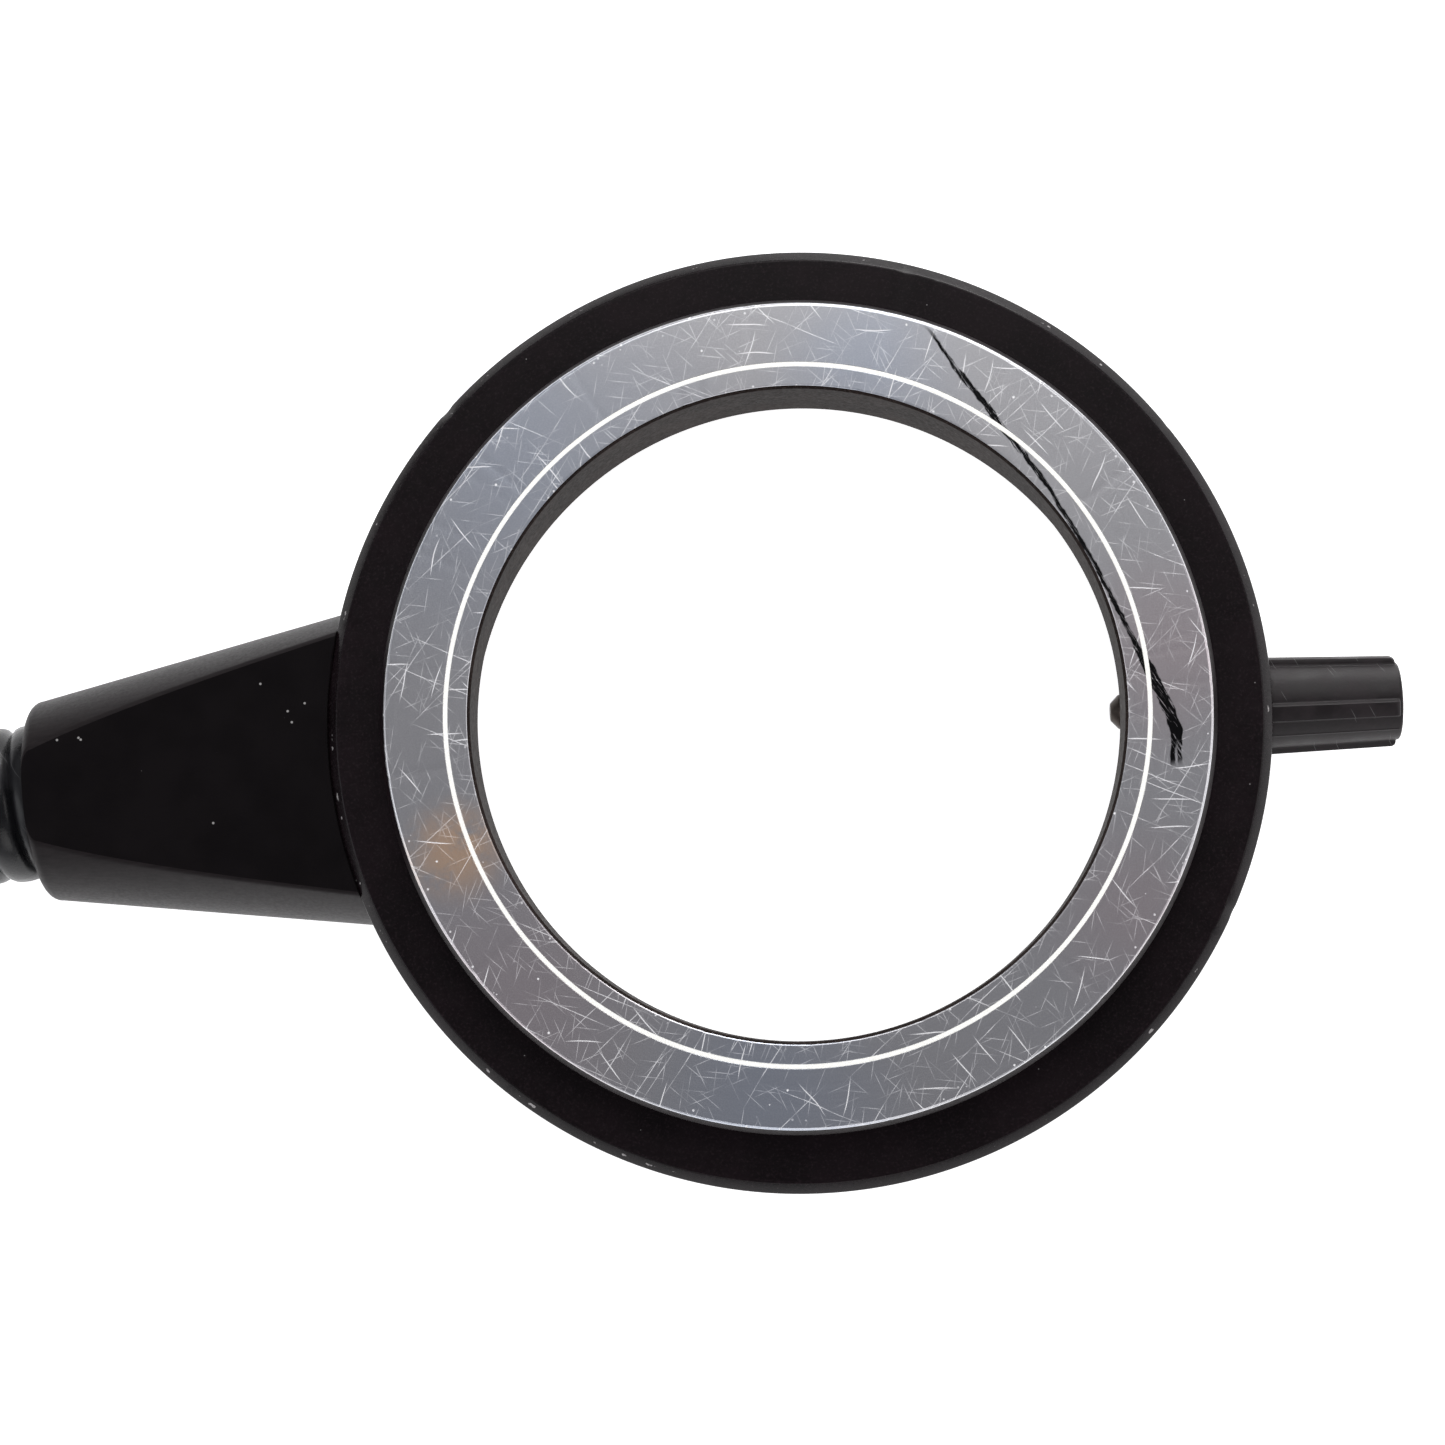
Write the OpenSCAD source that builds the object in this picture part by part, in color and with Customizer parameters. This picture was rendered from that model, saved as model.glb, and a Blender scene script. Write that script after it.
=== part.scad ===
// Fibre-optic ring light guide for a stereo microscope, lying on its rear face.
// Millimetres. Z points out of the light-emitting face, and z = 0 is the rear face.
// The Z axis is the viewing axis. The side arm points along -X and the clamp screw roughly along +X.

/* [Ring body] */
// Radius of the bore that slides over the objective
bore_r = 33; // [32.8:0.1:33.2]
// Outer radius of the ring body
body_r = 45.2; // [45:0.1:45.6]
// Height of the black front shoulder above the rear face
body_h = 18.8; // [18.4:0.1:19.2]
// Chamfer of the front outer edge
body_chamfer = 1; // [0.5:0.1:1.2]
// Thickness of the rear cover
cover_t = 1.5; // [1.2:0.1:1.8]

/* [Polished head] */
// Height of the polished face above the rear face
face_z = 24; // [23.8:0.1:24.6]
// Outer radius of the polished face
face_r = 38.9; // [38.6:0.1:39.2]
// Outer radius of the head below its bevel
head_r = 39.5; // [39.4:0.1:40]
// Depth of the bevel around the head
head_bevel = 1.3; // [0.8:0.1:2]
// Mean radius of the light slit
slit_r = 33.1; // [33.05:0.05:33.2]
// Width of the light slit
slit_w = 0.44; // [0.36:0.02:0.5]
// Radius of the throat inside the front lip
throat_r = 30.8; // [30.5:0.1:30.9]
// Thickness of the front lip
lip_t = 7.2; // [6.5:0.1:7.5]

/* [Side arm] */
// Distance from the viewing axis to the end of the arm
arm_end = 75; // [74.5:0.5:77]
// Radius of the arm's cone where it meets the ring
arm_root_r = 15.05; // [14.8:0.05:15.3]
// Slope of the arm's cone in degrees
arm_slope = 10.2; // [9.8:0.1:10.4]
// Thickness of the arm across its two milled flats
arm_t = 17.4; // [17.2:0.1:17.6]
// Rounding of the arm's end
arm_round = 1.2; // [0.8:0.1:1.4]

/* [Clamp screw] */
// Direction of the clamp screw from +X in degrees
screw_turn = -3.5; // [-6:0.5:6]
// Radius of the screw thread
thread_r = 2; // [1.9:0.05:2.05]
// Distance from the viewing axis to the point of the swivel tip
tip_reach = 30.4; // [30.2:0.1:31]
// Length of the knob
knob_l = 13.4; // [12:0.1:15]
// Radius of the knob's core at its base
knob_r = 4.15; // [3.9:0.05:4.4]
// Height of the knob's four ribs
rib_h = 0.6; // [0.4:0.05:0.8]

/* [Conduit] */
// Radius of the conduit over its corrugation crests
conduit_r = 7.75; // [7.6:0.05:7.8]
// Width of the strap that ties the coil
strap_w = 16; // [12:1:24]

/* [Light-source end] */
// Radius of the ferrule that plugs into the light source
ferrule_r = 7.5; // [7:0.1:7.8]
// Length of the ferrule outside its handle
ferrule_l = 25; // [20:1:30]
// Radius of the handle
handle_r = 10.5; // [10:0.1:10.5]

/* [Hidden] */
$fn = 96;
eps = 0.01;

// How far a cutting solid runs past what it cuts
over = 1;

// Clearances: between pieces, in a running fit, in a press fit, and around what is cast or packed in
gap = 0.05;
run_fit = 0.05;
press_gap = 0.02;
fill_gap = 0.1;

// The screw, the arm and the bundle share one height
axis_z = body_h / 2;

// Ring body and its hollow
sleeve_r = bore_r + 2;
body_wall = 2.6;
chamber_r = body_r - body_wall;
cover_r = body_r - 1.4;
chamber_top = body_h - body_wall;
roof_rise = 0.4;
funnel_r = 38;
rear_chamfer = 0.5;
slit_in = slit_r - slit_w / 2;
slit_out = slit_r + slit_w / 2;
slit_root = face_z - 2;
slit_land = 0.6;
sleeve_taper = 4.5;
throat_chamfer = [0.3, 0.4];
relief_r = bore_r + 0.6;
relief_low = 6;
relief_high = 12.8;
port_r = 6.5;

// Rear cover screws
cover_screws = 4;
cover_screw_r = chamber_r - 1.3;
pillar_r = 1.75;
cover_bolt_r = 0.95;
cover_bolt_slack = 0.15;
cover_bolt_space = 0.5;
cover_bolt_l = 5;
cover_head_r = 1.9;
cover_head_h = 1;
cover_socket_r = 0.65;
cover_socket_l = 0.7;

// Fibres in the hollow
fan_low = 4;
fan_r = 39.5;
fan_bend = 14.5;
fan_mouth = 0.3;
resin_low = 11;
resin_top_r = funnel_r + 0.6;
port_space = 0.3;

// Arm, its ferrule and the bundle through it
arm_z = axis_z - arm_t / 2;
arm_start = body_r - 6;
arm_step = 1;
conduit_space = 0.2;
socket_x = arm_end - arm_step;
socket_r = 5.5;
passage_r = 4.6;
bundle_r = 4.1;
bundle_sleeve_entry = 1;
bundle_sleeve_gap = 0.03;
ferrule_x = 59;
grub_r = 1.5;
grub_socket_share = 0.55;
grub_x = [64, 71];
arm_grub_l = 2.8;

// Clamp screw, from the tip outwards
tip_r = 1.7;
tip_point_r = 0.83;
tip_cone = 0.83;
tip_l = 2.8;
pivot_r = 1;
pivot_l = 1.5;
pivot_space = 0.2;
bush_r = 3;
bush_end = body_r - 0.3;
bush_start = relief_r + 0.1;
knob_x = body_r + 0.1;
knob_taper = 0.35;
knob_end_drop = 0.35;
knob_edge = 0.3;
rib_l = knob_l - 0.7;
rib_w = 1.7;
ribs = 4;
rib_phase = 15;
stud_end = knob_x + 8.5;

// Conduit route. The lead runs from the arm to the coil, the tail from the coil to the plug.
cord_r = 7.5;
cord_sides = 12;
coil_r = 82.5;
coil_x = -168;
coil_y = coil_r;
coil_top = 3 * conduit_r;
lead_route = [
    [-74, 0, 9.4], [-88, 0, 9.3], [-102, 0, 8.8], [-116, 0, 8.2],
    [-130, 0, 7.85], [-143, 0, 7.75], [-156, 0, 7.75], [-168, 0, 7.75]
];
tail_route = [
    [-168, 165, 23.25], [-153, 165, 23.2], [-138, 165, 22.7], [-123, 165, 20.1],
    [-108, 165, 16.3], [-93, 165, 12.7], [-78, 165, 10.7], [-66, 165, 10.5],
    [-54, 165, 10.5], [-42, 165, 10.5]
];
ramp_from = 15;
ramp_to = -45;

// Strap around both turns
strap_t = 0.9;
strap_in_w = 2 * conduit_r + 1.1;
strap_in_h = 4 * conduit_r + 0.2;
strap_corner = 5;

// Plug. The ferrule steps down inside the handle.
plug_y = 2 * coil_r;
plug_z = handle_r;
cord_end = -42;
handle_back = cord_end - 6;
handle_l = 26;
handle_front = handle_back + handle_l;
boot_l = 24;
boot_bore = 7.95;
boot_thin = 0.5;
boot_thick = 1.9;
grooves = 3;
groove_from = 9;
groove_step = 3;
groove_w = 1.2;
groove_depth = 0.5;
ferrule_back = handle_front - 9;
spigot_r = ferrule_r - 1;
handle_bore_r = bundle_r + 0.5;
ferrule_bore_r = bundle_r + 0.4;
source_fibre_r = bundle_r + 0.35;
source_grub_in = 4;
source_grub_l = 3.4;

// Local z runs outward along +X from the given point.
module along_x(x, y, z) {
    translate([x, y, z])
        rotate([0, 90, 0])
            children();
}

// Local z runs outward along the clamp screw, starting at a distance from the viewing axis.
module along_screw(distance) {
    rotate([0, 0, screw_turn])
        along_x(distance, 0, axis_z)
            children();
}

// A tube with square ends.
module tube(outer, inner, length) {
    difference() {
        cylinder(r = outer, h = length);
        translate([0, 0, -over])
            cylinder(r = inner, h = length + 2 * over);
    }
}

// A headless screw with a hexagon socket in its upper end.
module grub_screw(radius, length) {
    socket = radius * grub_socket_share;
    difference() {
        cylinder(r = radius, h = length);
        translate([0, 0, length - radius])
            cylinder(r = socket, h = radius + over, $fn = 6);
    }
}

// Places its children at each rear cover screw.
module at_cover_screws() {
    for (i = [0 : cover_screws - 1])
        rotate([0, 0, 45 + i * 360 / cover_screws])
            translate([cover_screw_r, 0, 0])
                children();
}

// Machined outer body: shoulder, raised head, fibre hollow and the outer wall of the slit.
module ring_housing() {
    color("#1d1a1c")
    difference() {
        union() {
            rotate_extrude($fn = 180)
                polygon([
                    [cover_r, 0],
                    [body_r - rear_chamfer, 0],
                    [body_r, rear_chamfer],
                    [body_r, body_h - body_chamfer],
                    [body_r - body_chamfer, body_h],
                    [head_r, body_h],
                    [head_r, face_z - head_bevel],
                    [face_r, face_z],
                    [slit_out, face_z],
                    [slit_out, slit_root + slit_land],
                    [funnel_r, chamber_top + roof_rise],
                    [chamber_r, chamber_top],
                    [chamber_r, cover_t + gap],
                    [cover_r, cover_t + gap]
                ]);
            at_cover_screws()
                translate([0, 0, cover_t + gap])
                    cylinder(r = pillar_r, h = chamber_top - cover_t);
        }
        at_cover_screws()
            cylinder(r = cover_bolt_r + gap, h = cover_bolt_l + cover_bolt_space);
        along_x(-body_r - over, 0, axis_z)
            cylinder(r = port_r + gap, h = body_wall + 2 * over);
        along_screw(chamber_r - over)
            cylinder(r = bush_r + press_gap, h = body_wall + 2 * over);
    }
}

// Inner sleeve: locating bore, relief groove for the screw, front lip and the inner wall of the slit.
module inner_sleeve() {
    color("#26211f")
    difference() {
        rotate_extrude($fn = 180)
            polygon([
                [bore_r, 0],
                [sleeve_r, 0],
                [sleeve_r, face_z - sleeve_taper],
                [slit_in, slit_root],
                [slit_in, face_z],
                [throat_r + throat_chamfer.x, face_z],
                [throat_r, face_z - throat_chamfer.y],
                [throat_r, face_z - lip_t],
                [bore_r, face_z - lip_t],
                [bore_r, relief_high],
                [relief_r, relief_high],
                [relief_r, relief_low],
                [bore_r, relief_low]
            ]);
        along_screw(bore_r - over)
            cylinder(r = bush_r + press_gap, h = sleeve_r - bore_r + 2 * over);
    }
}

// Flat ring that closes the fibre hollow from behind.
module rear_cover() {
    color("#2a2727")
    difference() {
        tube(cover_r - gap, sleeve_r + gap, cover_t, $fn = 180);
        at_cover_screws() {
            translate([0, 0, -over])
                cylinder(r = cover_bolt_r + cover_bolt_slack, h = cover_t + 2 * over);
            translate([0, 0, -eps])
                cylinder(r1 = cover_head_r + gap + eps, r2 = cover_bolt_r + gap, h = cover_head_h);
        }
    }
}

// Countersunk screws that hold the rear cover.
module rear_cover_screws() {
    color("#8d8d90")
    at_cover_screws()
        difference() {
            union() {
                translate([0, 0, gap])
                    cylinder(r1 = cover_head_r - gap, r2 = cover_bolt_r, h = cover_head_h - gap);
                translate([0, 0, cover_head_h / 2])
                    cylinder(r = cover_bolt_r, h = cover_bolt_l - cover_head_h / 2);
            }
            translate([0, 0, -over])
                cylinder(r = cover_socket_r, h = cover_socket_l + over, $fn = 6);
        }
}

// Polished ends of the fibres, filling the slit.
module fibre_slit() {
    color("#fdfdf8")
    translate([0, 0, slit_root])
        tube(slit_out - eps, slit_in + eps, face_z - slit_root, $fn = 180);
}

// Fibres spread around the hollow and gathered up into the slit, parted around the screw bush.
module fibre_fan() {
    color("#e9e6d8")
    difference() {
        rotate_extrude($fn = 180)
            polygon([
                [sleeve_r + gap, fan_low],
                [fan_r, fan_low],
                [fan_r, fan_bend],
                [funnel_r - fill_gap, chamber_top + roof_rise - fill_gap],
                [slit_out + fan_mouth, slit_root],
                [slit_in + gap, slit_root],
                [sleeve_r + gap, face_z - sleeve_taper + gap]
            ]);
        along_screw(bore_r)
            cylinder(r = bush_r + fill_gap, h = fan_r - bore_r + over);
    }
}

// Cast resin that locks the fibres under the front shoulder.
module potting_resin() {
    color("#b98a3a")
    difference() {
        rotate_extrude($fn = 180)
            polygon([
                [fan_r + gap, resin_low],
                [chamber_r - gap, resin_low],
                [chamber_r - gap, chamber_top - fill_gap],
                [resin_top_r, chamber_top - fill_gap],
                [fan_r + gap, fan_bend + fill_gap]
            ]);
        at_cover_screws()
            cylinder(r = pillar_r + gap, h = body_h);
        along_x(-body_r, 0, axis_z)
            cylinder(r = port_r + port_space, h = body_r - fan_r + 2 * over);
        along_screw(fan_r - over)
            cylinder(r = bush_r + fill_gap, h = body_r - fan_r + over);
    }
}

// Outline of the arm as distance from the viewing axis against radius, with a rounded end.
function arm_radius(x) = arm_root_r - (x - body_r) * tan(arm_slope);
function arm_outline() = concat(
    [[0, arm_start], [arm_radius(arm_start), arm_start]],
    [for (a = [0 : 15 : 90])
        [arm_radius(arm_end - arm_round) - arm_round * (1 - cos(a)), arm_end - arm_round * (1 - sin(a))]],
    [[0, arm_end]]
);

// Conical side arm with two milled flats and a spigot that enters the ring.
module side_arm() {
    color("#242224")
    difference() {
        union() {
            difference() {
                intersection() {
                    translate([0, 0, axis_z])
                        rotate([0, -90, 0])
                            rotate_extrude()
                                polygon(arm_outline());
                    translate([-arm_end - over, -body_r, arm_z])
                        cube([arm_end, 2 * body_r, arm_t]);
                }
                translate([0, 0, -over])
                    cylinder(r = body_r + press_gap, h = face_z + 2 * over, $fn = 180);
            }
            along_x(-body_r - over, 0, axis_z)
                cylinder(r = port_r, h = body_wall + over);
        }
        along_x(-socket_x, 0, axis_z)
            cylinder(r = socket_r + gap, h = socket_x - ferrule_x);
        along_x(-ferrule_x - over, 0, axis_z)
            cylinder(r = passage_r, h = ferrule_x);
        along_x(-arm_end - over, 0, axis_z)
            cylinder(r = conduit_r + conduit_space, h = arm_step + over);
        for (x = grub_x)
            translate([-x, 0, -over])
                cylinder(r = grub_r + gap, h = axis_z - socket_r + 2 * over);
    }
}

// Turned ferrule that ties the end of the conduit and the bundle to the arm.
module arm_ferrule() {
    color("#c9b27a")
    along_x(-socket_x, 0, axis_z)
        tube(socket_r, bundle_r + fill_gap, socket_x - ferrule_x - gap);
}

// Set screws that hold the arm's ferrule, reached from the rear flat.
module arm_grub_screws() {
    color("#55565a")
    for (x = grub_x)
        translate([-x, 0, axis_z - socket_r - gap])
            rotate([180, 0, 0])
                grub_screw(grub_r, arm_grub_l);
}

// Bundle of glass fibres from the conduit to the hollow of the ring.
module fibre_bundle() {
    color("#efece0")
    difference() {
        along_x(-socket_x, 0, axis_z)
            cylinder(r = bundle_r, h = socket_x - fan_r + over);
        cylinder(r = fan_r + gap, h = body_h, $fn = 180);
    }
}

// Shrunk sleeve that protects the bundle through the arm.
module bundle_sleeve() {
    color("#3b3f46")
    along_x(-ferrule_x + gap, 0, axis_z)
        tube(
            passage_r - bundle_sleeve_gap,
            bundle_r + bundle_sleeve_gap,
            ferrule_x - body_r + bundle_sleeve_entry
        );
}

// Brass bush that carries the clamp screw across the fibre hollow.
module clamp_bush() {
    color("#b5924c")
    along_screw(bush_start)
        tube(bush_r, thread_r + run_fit, bush_end - bush_start);
}

// Threaded rod of the clamp screw, with a socket for the swivel tip.
module clamp_screw() {
    start = tip_reach + tip_l + gap;
    color("#6f6c6a")
    along_screw(start)
        difference() {
            cylinder(r = thread_r, h = stud_end - start);
            translate([0, 0, -over])
                cylinder(r = pivot_r + run_fit, h = pivot_l + pivot_space + over);
        }
}

// Moulded knob: tapered core, four ribs and a slightly domed end.
module clamp_knob() {
    core_end_r = knob_r - knob_taper;
    color("#2b2b2d")
    along_screw(knob_x)
        difference() {
            union() {
                rotate_extrude()
                    polygon(concat(
                        [[0, 0], [knob_r, 0], [core_end_r, knob_l - knob_end_drop - knob_edge]],
                        [for (a = [0 : 15 : 75])
                            [(core_end_r - knob_edge) * cos(a), knob_l - knob_end_drop * (1 - sin(a))]],
                        [[0, knob_l]]
                    ));
                intersection() {
                    cylinder(r1 = knob_r + rib_h, r2 = core_end_r + rib_h, h = rib_l);
                    for (i = [0 : ribs / 2 - 1])
                        rotate([0, 0, rib_phase + i * 360 / ribs])
                            translate([-knob_r - over, -rib_w / 2, 0])
                                cube([2 * (knob_r + over), rib_w, rib_l]);
                }
            }
            translate([0, 0, -over])
                cylinder(r = thread_r + press_gap, h = stud_end - knob_x + press_gap + over);
        }
}

// Swivel tip that bears on the objective and doesn't turn with the screw.
module clamp_tip() {
    color("#4a3f38")
    along_screw(tip_reach)
        union() {
            cylinder(r1 = tip_point_r, r2 = tip_r, h = tip_cone);
            translate([0, 0, tip_cone])
                cylinder(r = tip_r, h = tip_l - tip_cone);
            translate([0, 0, tip_l])
                cylinder(r = pivot_r, h = pivot_l);
        }
}

// Unit vector, and the direction of a route at one of its points.
function unit(v) = v / norm(v);
function heading(route, i) =
    i == 0 || i == len(route) - 1
        ? [sign(route[len(route) - 1].x - route[0].x), 0, 0]
        : unit(route[i + 1] - route[i - 1]);

// One ring of points around a route point.
function route_ring(route, i) =
    let (ahead = heading(route, i), side = unit(cross(ahead, [0, 0, 1])), up = cross(side, ahead))
    [for (k = [0 : cord_sides - 1])
        route[i] + cord_r * (cos(k * 360 / cord_sides) * side + sin(k * 360 / cord_sides) * up)];

// A closed tube swept along a route.
module swept_tube(route) {
    rings = len(route);
    points = [for (i = [0 : rings - 1]) each route_ring(route, i)];
    walls = [for (i = [0 : rings - 2], k = [0 : cord_sides - 1])
        let (n = (k + 1) % cord_sides, low = i * cord_sides, high = low + cord_sides)
        [low + k, high + k, high + n, low + n]];
    first_end = [for (k = [0 : cord_sides - 1]) k];
    last_end = [for (k = [cord_sides - 1 : -1 : 0]) (rings - 1) * cord_sides + k];
    polyhedron(points, concat(walls, [first_end], [last_end]));
}

// Upright section through two stacked turns.
function stacked_turns() = concat(
    [for (a = [180 : 15 : 360]) [coil_r + conduit_r * cos(a), conduit_r + conduit_r * sin(a)]],
    [for (a = [0 : 15 : 180]) [coil_r + conduit_r * cos(a), coil_top + conduit_r * sin(a)]]
);

// Outline that leaves one turn's round back, in conduit radii from that turn's centre.
turn_back = [
    [-1.3, 0.15], [-0.97, 0.25], [-0.7, 0.71], [-0.25, 0.96], [0.25, 0.96],
    [0.7, 0.71], [0.97, 0.25], [1.3, 0.15], [1.3, 3.4], [-1.3, 3.4]
];

// Space without a second turn between two directions, above (side = 1) or below (side = -1) the turn there.
module missing_turn(from, to, centre_z, side) {
    rotate([0, 0, from])
        rotate_extrude(angle = to - from, $fn = 120)
            polygon([for (p = turn_back) [coil_r + conduit_r * p.x, centre_z + side * conduit_r * p.y]]);
}

// Conduit from the arm to the stored coil.
module conduit_lead() {
    color("#151515")
    swept_tube(lead_route);
}

// One and a half turns: the second climbs on to the first where it crosses the lead.
module conduit_coil() {
    color("#151515")
    difference() {
        translate([coil_x, coil_y, 0])
            difference() {
                rotate_extrude($fn = 120)
                    polygon(stacked_turns());
                missing_turn(ramp_from, 90, conduit_r, 1);
                missing_turn(-90, ramp_to, coil_top, -1);
            }
        strap_band();
    }
}

// Conduit from the coil down to the plug.
module conduit_tail() {
    color("#151515")
    swept_tube(tail_route);
}

// Rectangle with round corners, centred on X.
module round_rectangle(width, height, corner) {
    for (x = [-1, 1])
        for (y = [corner, height - corner])
            translate([x * (width / 2 - corner), y])
                circle(r = corner);
    translate([-width / 2, corner])
        square([width, height - 2 * corner]);
    translate([corner - width / 2, 0])
        square([width - 2 * corner, height]);
}

// Closed band around both turns at the far side of the coil.
module strap_band() {
    translate([coil_x - coil_r, coil_y + strap_w / 2, 0])
        rotate([90, 0, 0])
            linear_extrude(height = strap_w)
                difference() {
                    round_rectangle(strap_in_w + 2 * strap_t, strap_in_h + 2 * strap_t, strap_corner);
                    translate([0, strap_t])
                        round_rectangle(strap_in_w, strap_in_h, strap_corner - strap_t);
                }
}

// Woven strap that ties the coil.
module coil_strap() {
    color("#20242c")
    strap_band();
}

// Tapered rubber boot that keeps the conduit from kinking behind the handle.
module source_boot() {
    color("#191919")
    along_x(handle_back - boot_l, plug_y, plug_z)
        rotate_extrude()
            polygon([
                [boot_bore, 0],
                [boot_bore + boot_thin, 0],
                [boot_bore + boot_thick, boot_l],
                [boot_bore, boot_l]
            ]);
}

// Turned handle of the plug, with finger grooves.
module source_handle() {
    color("#34353a")
    along_x(handle_back, plug_y, plug_z)
        difference() {
            cylinder(r = handle_r, h = handle_l);
            translate([0, 0, -over])
                cylinder(r = boot_bore, h = cord_end - handle_back + over);
            translate([0, 0, -over])
                cylinder(r = handle_bore_r, h = handle_l + 2 * over);
            translate([0, 0, ferrule_back - handle_back])
                cylinder(r = spigot_r + press_gap, h = handle_l);
            for (i = [0 : grooves - 1])
                translate([0, 0, groove_from + i * groove_step])
                    tube(handle_r + over, handle_r - groove_depth, groove_w);
            translate([handle_r + over, 0, handle_l - source_grub_in])
                rotate([0, -90, 0])
                    cylinder(r = grub_r + gap, h = handle_r - spigot_r + 2 * over);
        }
}

// Polished ferrule that plugs into the light source.
module source_ferrule() {
    color("#c8c9cc")
    along_x(ferrule_back, plug_y, plug_z)
        difference() {
            union() {
                cylinder(r = spigot_r, h = handle_front - ferrule_back + over);
                translate([0, 0, handle_front - ferrule_back])
                    cylinder(r = ferrule_r, h = ferrule_l);
            }
            translate([0, 0, -over])
                cylinder(r = ferrule_bore_r, h = handle_front - ferrule_back + ferrule_l + 2 * over);
        }
}

// Set screw that holds the ferrule in the handle, on the underside.
module source_grub_screw() {
    color("#55565a")
    translate([handle_front - source_grub_in, plug_y, plug_z - spigot_r - gap])
        rotate([180, 0, 0])
            grub_screw(grub_r, source_grub_l);
}

// Fibre bundle inside the plug, ending in a polished face.
module source_fibres() {
    color("#f4f1e4")
    along_x(cord_end, plug_y, plug_z)
        cylinder(r = source_fibre_r, h = handle_front + ferrule_l - cord_end);
}

ring_housing();
inner_sleeve();
rear_cover();
rear_cover_screws();
fibre_slit();
fibre_fan();
potting_resin();
side_arm();
arm_ferrule();
arm_grub_screws();
fibre_bundle();
bundle_sleeve();
clamp_bush();
clamp_screw();
clamp_knob();
clamp_tip();
conduit_lead();
conduit_coil();
conduit_tail();
coil_strap();
source_boot();
source_handle();
source_ferrule();
source_grub_screw();
source_fibres();
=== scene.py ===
"""Looks of a fibre-optic ring light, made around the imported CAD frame.

Shapes are worked out in millimetres, in the CAD frame, and scaled to metres when a mesh is made.
"""
import math
import random

import bmesh
import bpy
import numpy as np
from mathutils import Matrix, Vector


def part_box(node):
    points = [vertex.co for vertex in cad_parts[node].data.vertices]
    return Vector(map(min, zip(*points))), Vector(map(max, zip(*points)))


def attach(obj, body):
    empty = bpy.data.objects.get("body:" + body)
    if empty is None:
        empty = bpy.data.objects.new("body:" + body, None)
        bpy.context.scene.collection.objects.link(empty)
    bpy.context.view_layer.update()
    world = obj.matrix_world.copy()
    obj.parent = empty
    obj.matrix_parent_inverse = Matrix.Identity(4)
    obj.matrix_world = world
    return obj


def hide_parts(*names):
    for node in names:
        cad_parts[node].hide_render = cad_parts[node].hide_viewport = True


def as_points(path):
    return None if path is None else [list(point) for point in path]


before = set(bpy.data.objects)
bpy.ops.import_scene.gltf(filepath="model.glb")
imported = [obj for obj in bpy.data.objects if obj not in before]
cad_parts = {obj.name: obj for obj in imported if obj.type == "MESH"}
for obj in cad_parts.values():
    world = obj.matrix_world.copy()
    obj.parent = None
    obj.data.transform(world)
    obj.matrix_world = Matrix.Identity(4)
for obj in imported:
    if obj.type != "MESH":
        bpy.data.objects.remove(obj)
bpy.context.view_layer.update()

MM = 0.001
SHARP = 32  # degrees of bend from which an edge stays sharp

# Camera, as it stood for the photograph: place in metres, turn in degrees, lens and sensor in millimetres
CAMERA_AT = (0.00349, -0.02793, 0.345)
CAMERA_TURN = (4.7184, 2.3458, -5.6413)
CAMERA_LENS = 85.53
CAMERA_SENSOR = 36


def corner(node, which):
    """Lowest (0) or highest (1) corner of a CAD node's box, in millimetres."""
    return [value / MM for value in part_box(node)[which]]


# Ring, from the CAD boxes where they give it
BODY_R, _, FACE_Z = corner("ring_housing", 1)
SLEEVE_R = corner("inner_sleeve", 1)[0]
COVER_R = corner("rear_cover", 1)[0] + 0.05
COVER_T = corner("rear_cover", 1)[2] + 0.05
SLIT_OUT = corner("fibre_slit", 1)[0] + 0.01
SLIT_IN = SLIT_OUT - 0.44
SHOULDER_Z = FACE_Z - 5.2
BODY_CHAMFER = 1.0
HEAD_R = 39.5
FACE_R = 38.9
HEAD_BEVEL = 1.3
BORE_R = SLEEVE_R - 2
THROAT_R = 30.8
LIP_Z = FACE_Z - 7.2
RELIEF = (6.0, 12.8, BORE_R + 0.6)
AXIS_Z = SHOULDER_Z / 2

# Arm and clamp screw
ARM_END = -corner("side_arm", 0)[0]
ARM_ROOT_R = 15.05
ARM_SLOPE = math.tan(math.radians(10.2))
ARM_HALF_T = (corner("side_arm", 1)[2] - corner("side_arm", 0)[2]) / 2
ARM_ROUND = 1.2
SCREW_TURN = math.radians(-3.5)
KNOB_START = BODY_R + 0.1
KNOB_L = 13.4
KNOB_R = 4.15
KNOB_TAPER = 0.35
RIB_H = 0.6
RIB_W = 1.7
RIBS = 4
RIB_PHASE = math.radians(15)
THREAD_R = 2.0
THREAD_PITCH = 0.7
STUD = (33.25, KNOB_START + 8.5)
SCREW_HOLE_R = 3.02
TIP_REACH = 30.4

# Conduit and its route: from the arm to the coil, one and a half turns, and on to the plug
CREST_R = 7.75
HOSE_R = 7.70  # visible crests, a hair inside the CAD solid
ROOT_R = 6.95
CONDUIT_PITCH = 3.4
LEAD = [
    (-74, 0, 9.4), (-88, 0, 9.3), (-102, 0, 8.8), (-116, 0, 8.2),
    (-130, 0, 7.85), (-143, 0, 7.75), (-156, 0, 7.75), (-168, 0, 7.75),
]
TAIL = [
    (-168, 165, 23.25), (-153, 165, 23.2), (-138, 165, 22.7), (-123, 165, 20.1),
    (-108, 165, 16.3), (-93, 165, 12.7), (-78, 165, 10.7), (-66, 165, 10.5),
    (-54, 165, 10.5), (-42, 165, 10.5),
]
COIL_R = 82.5
COIL_AT = (-168, COIL_R)
LEVELS = (CREST_R, 3 * CREST_R)
COIL_FROM = -90
COIL_TO = -630
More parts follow.
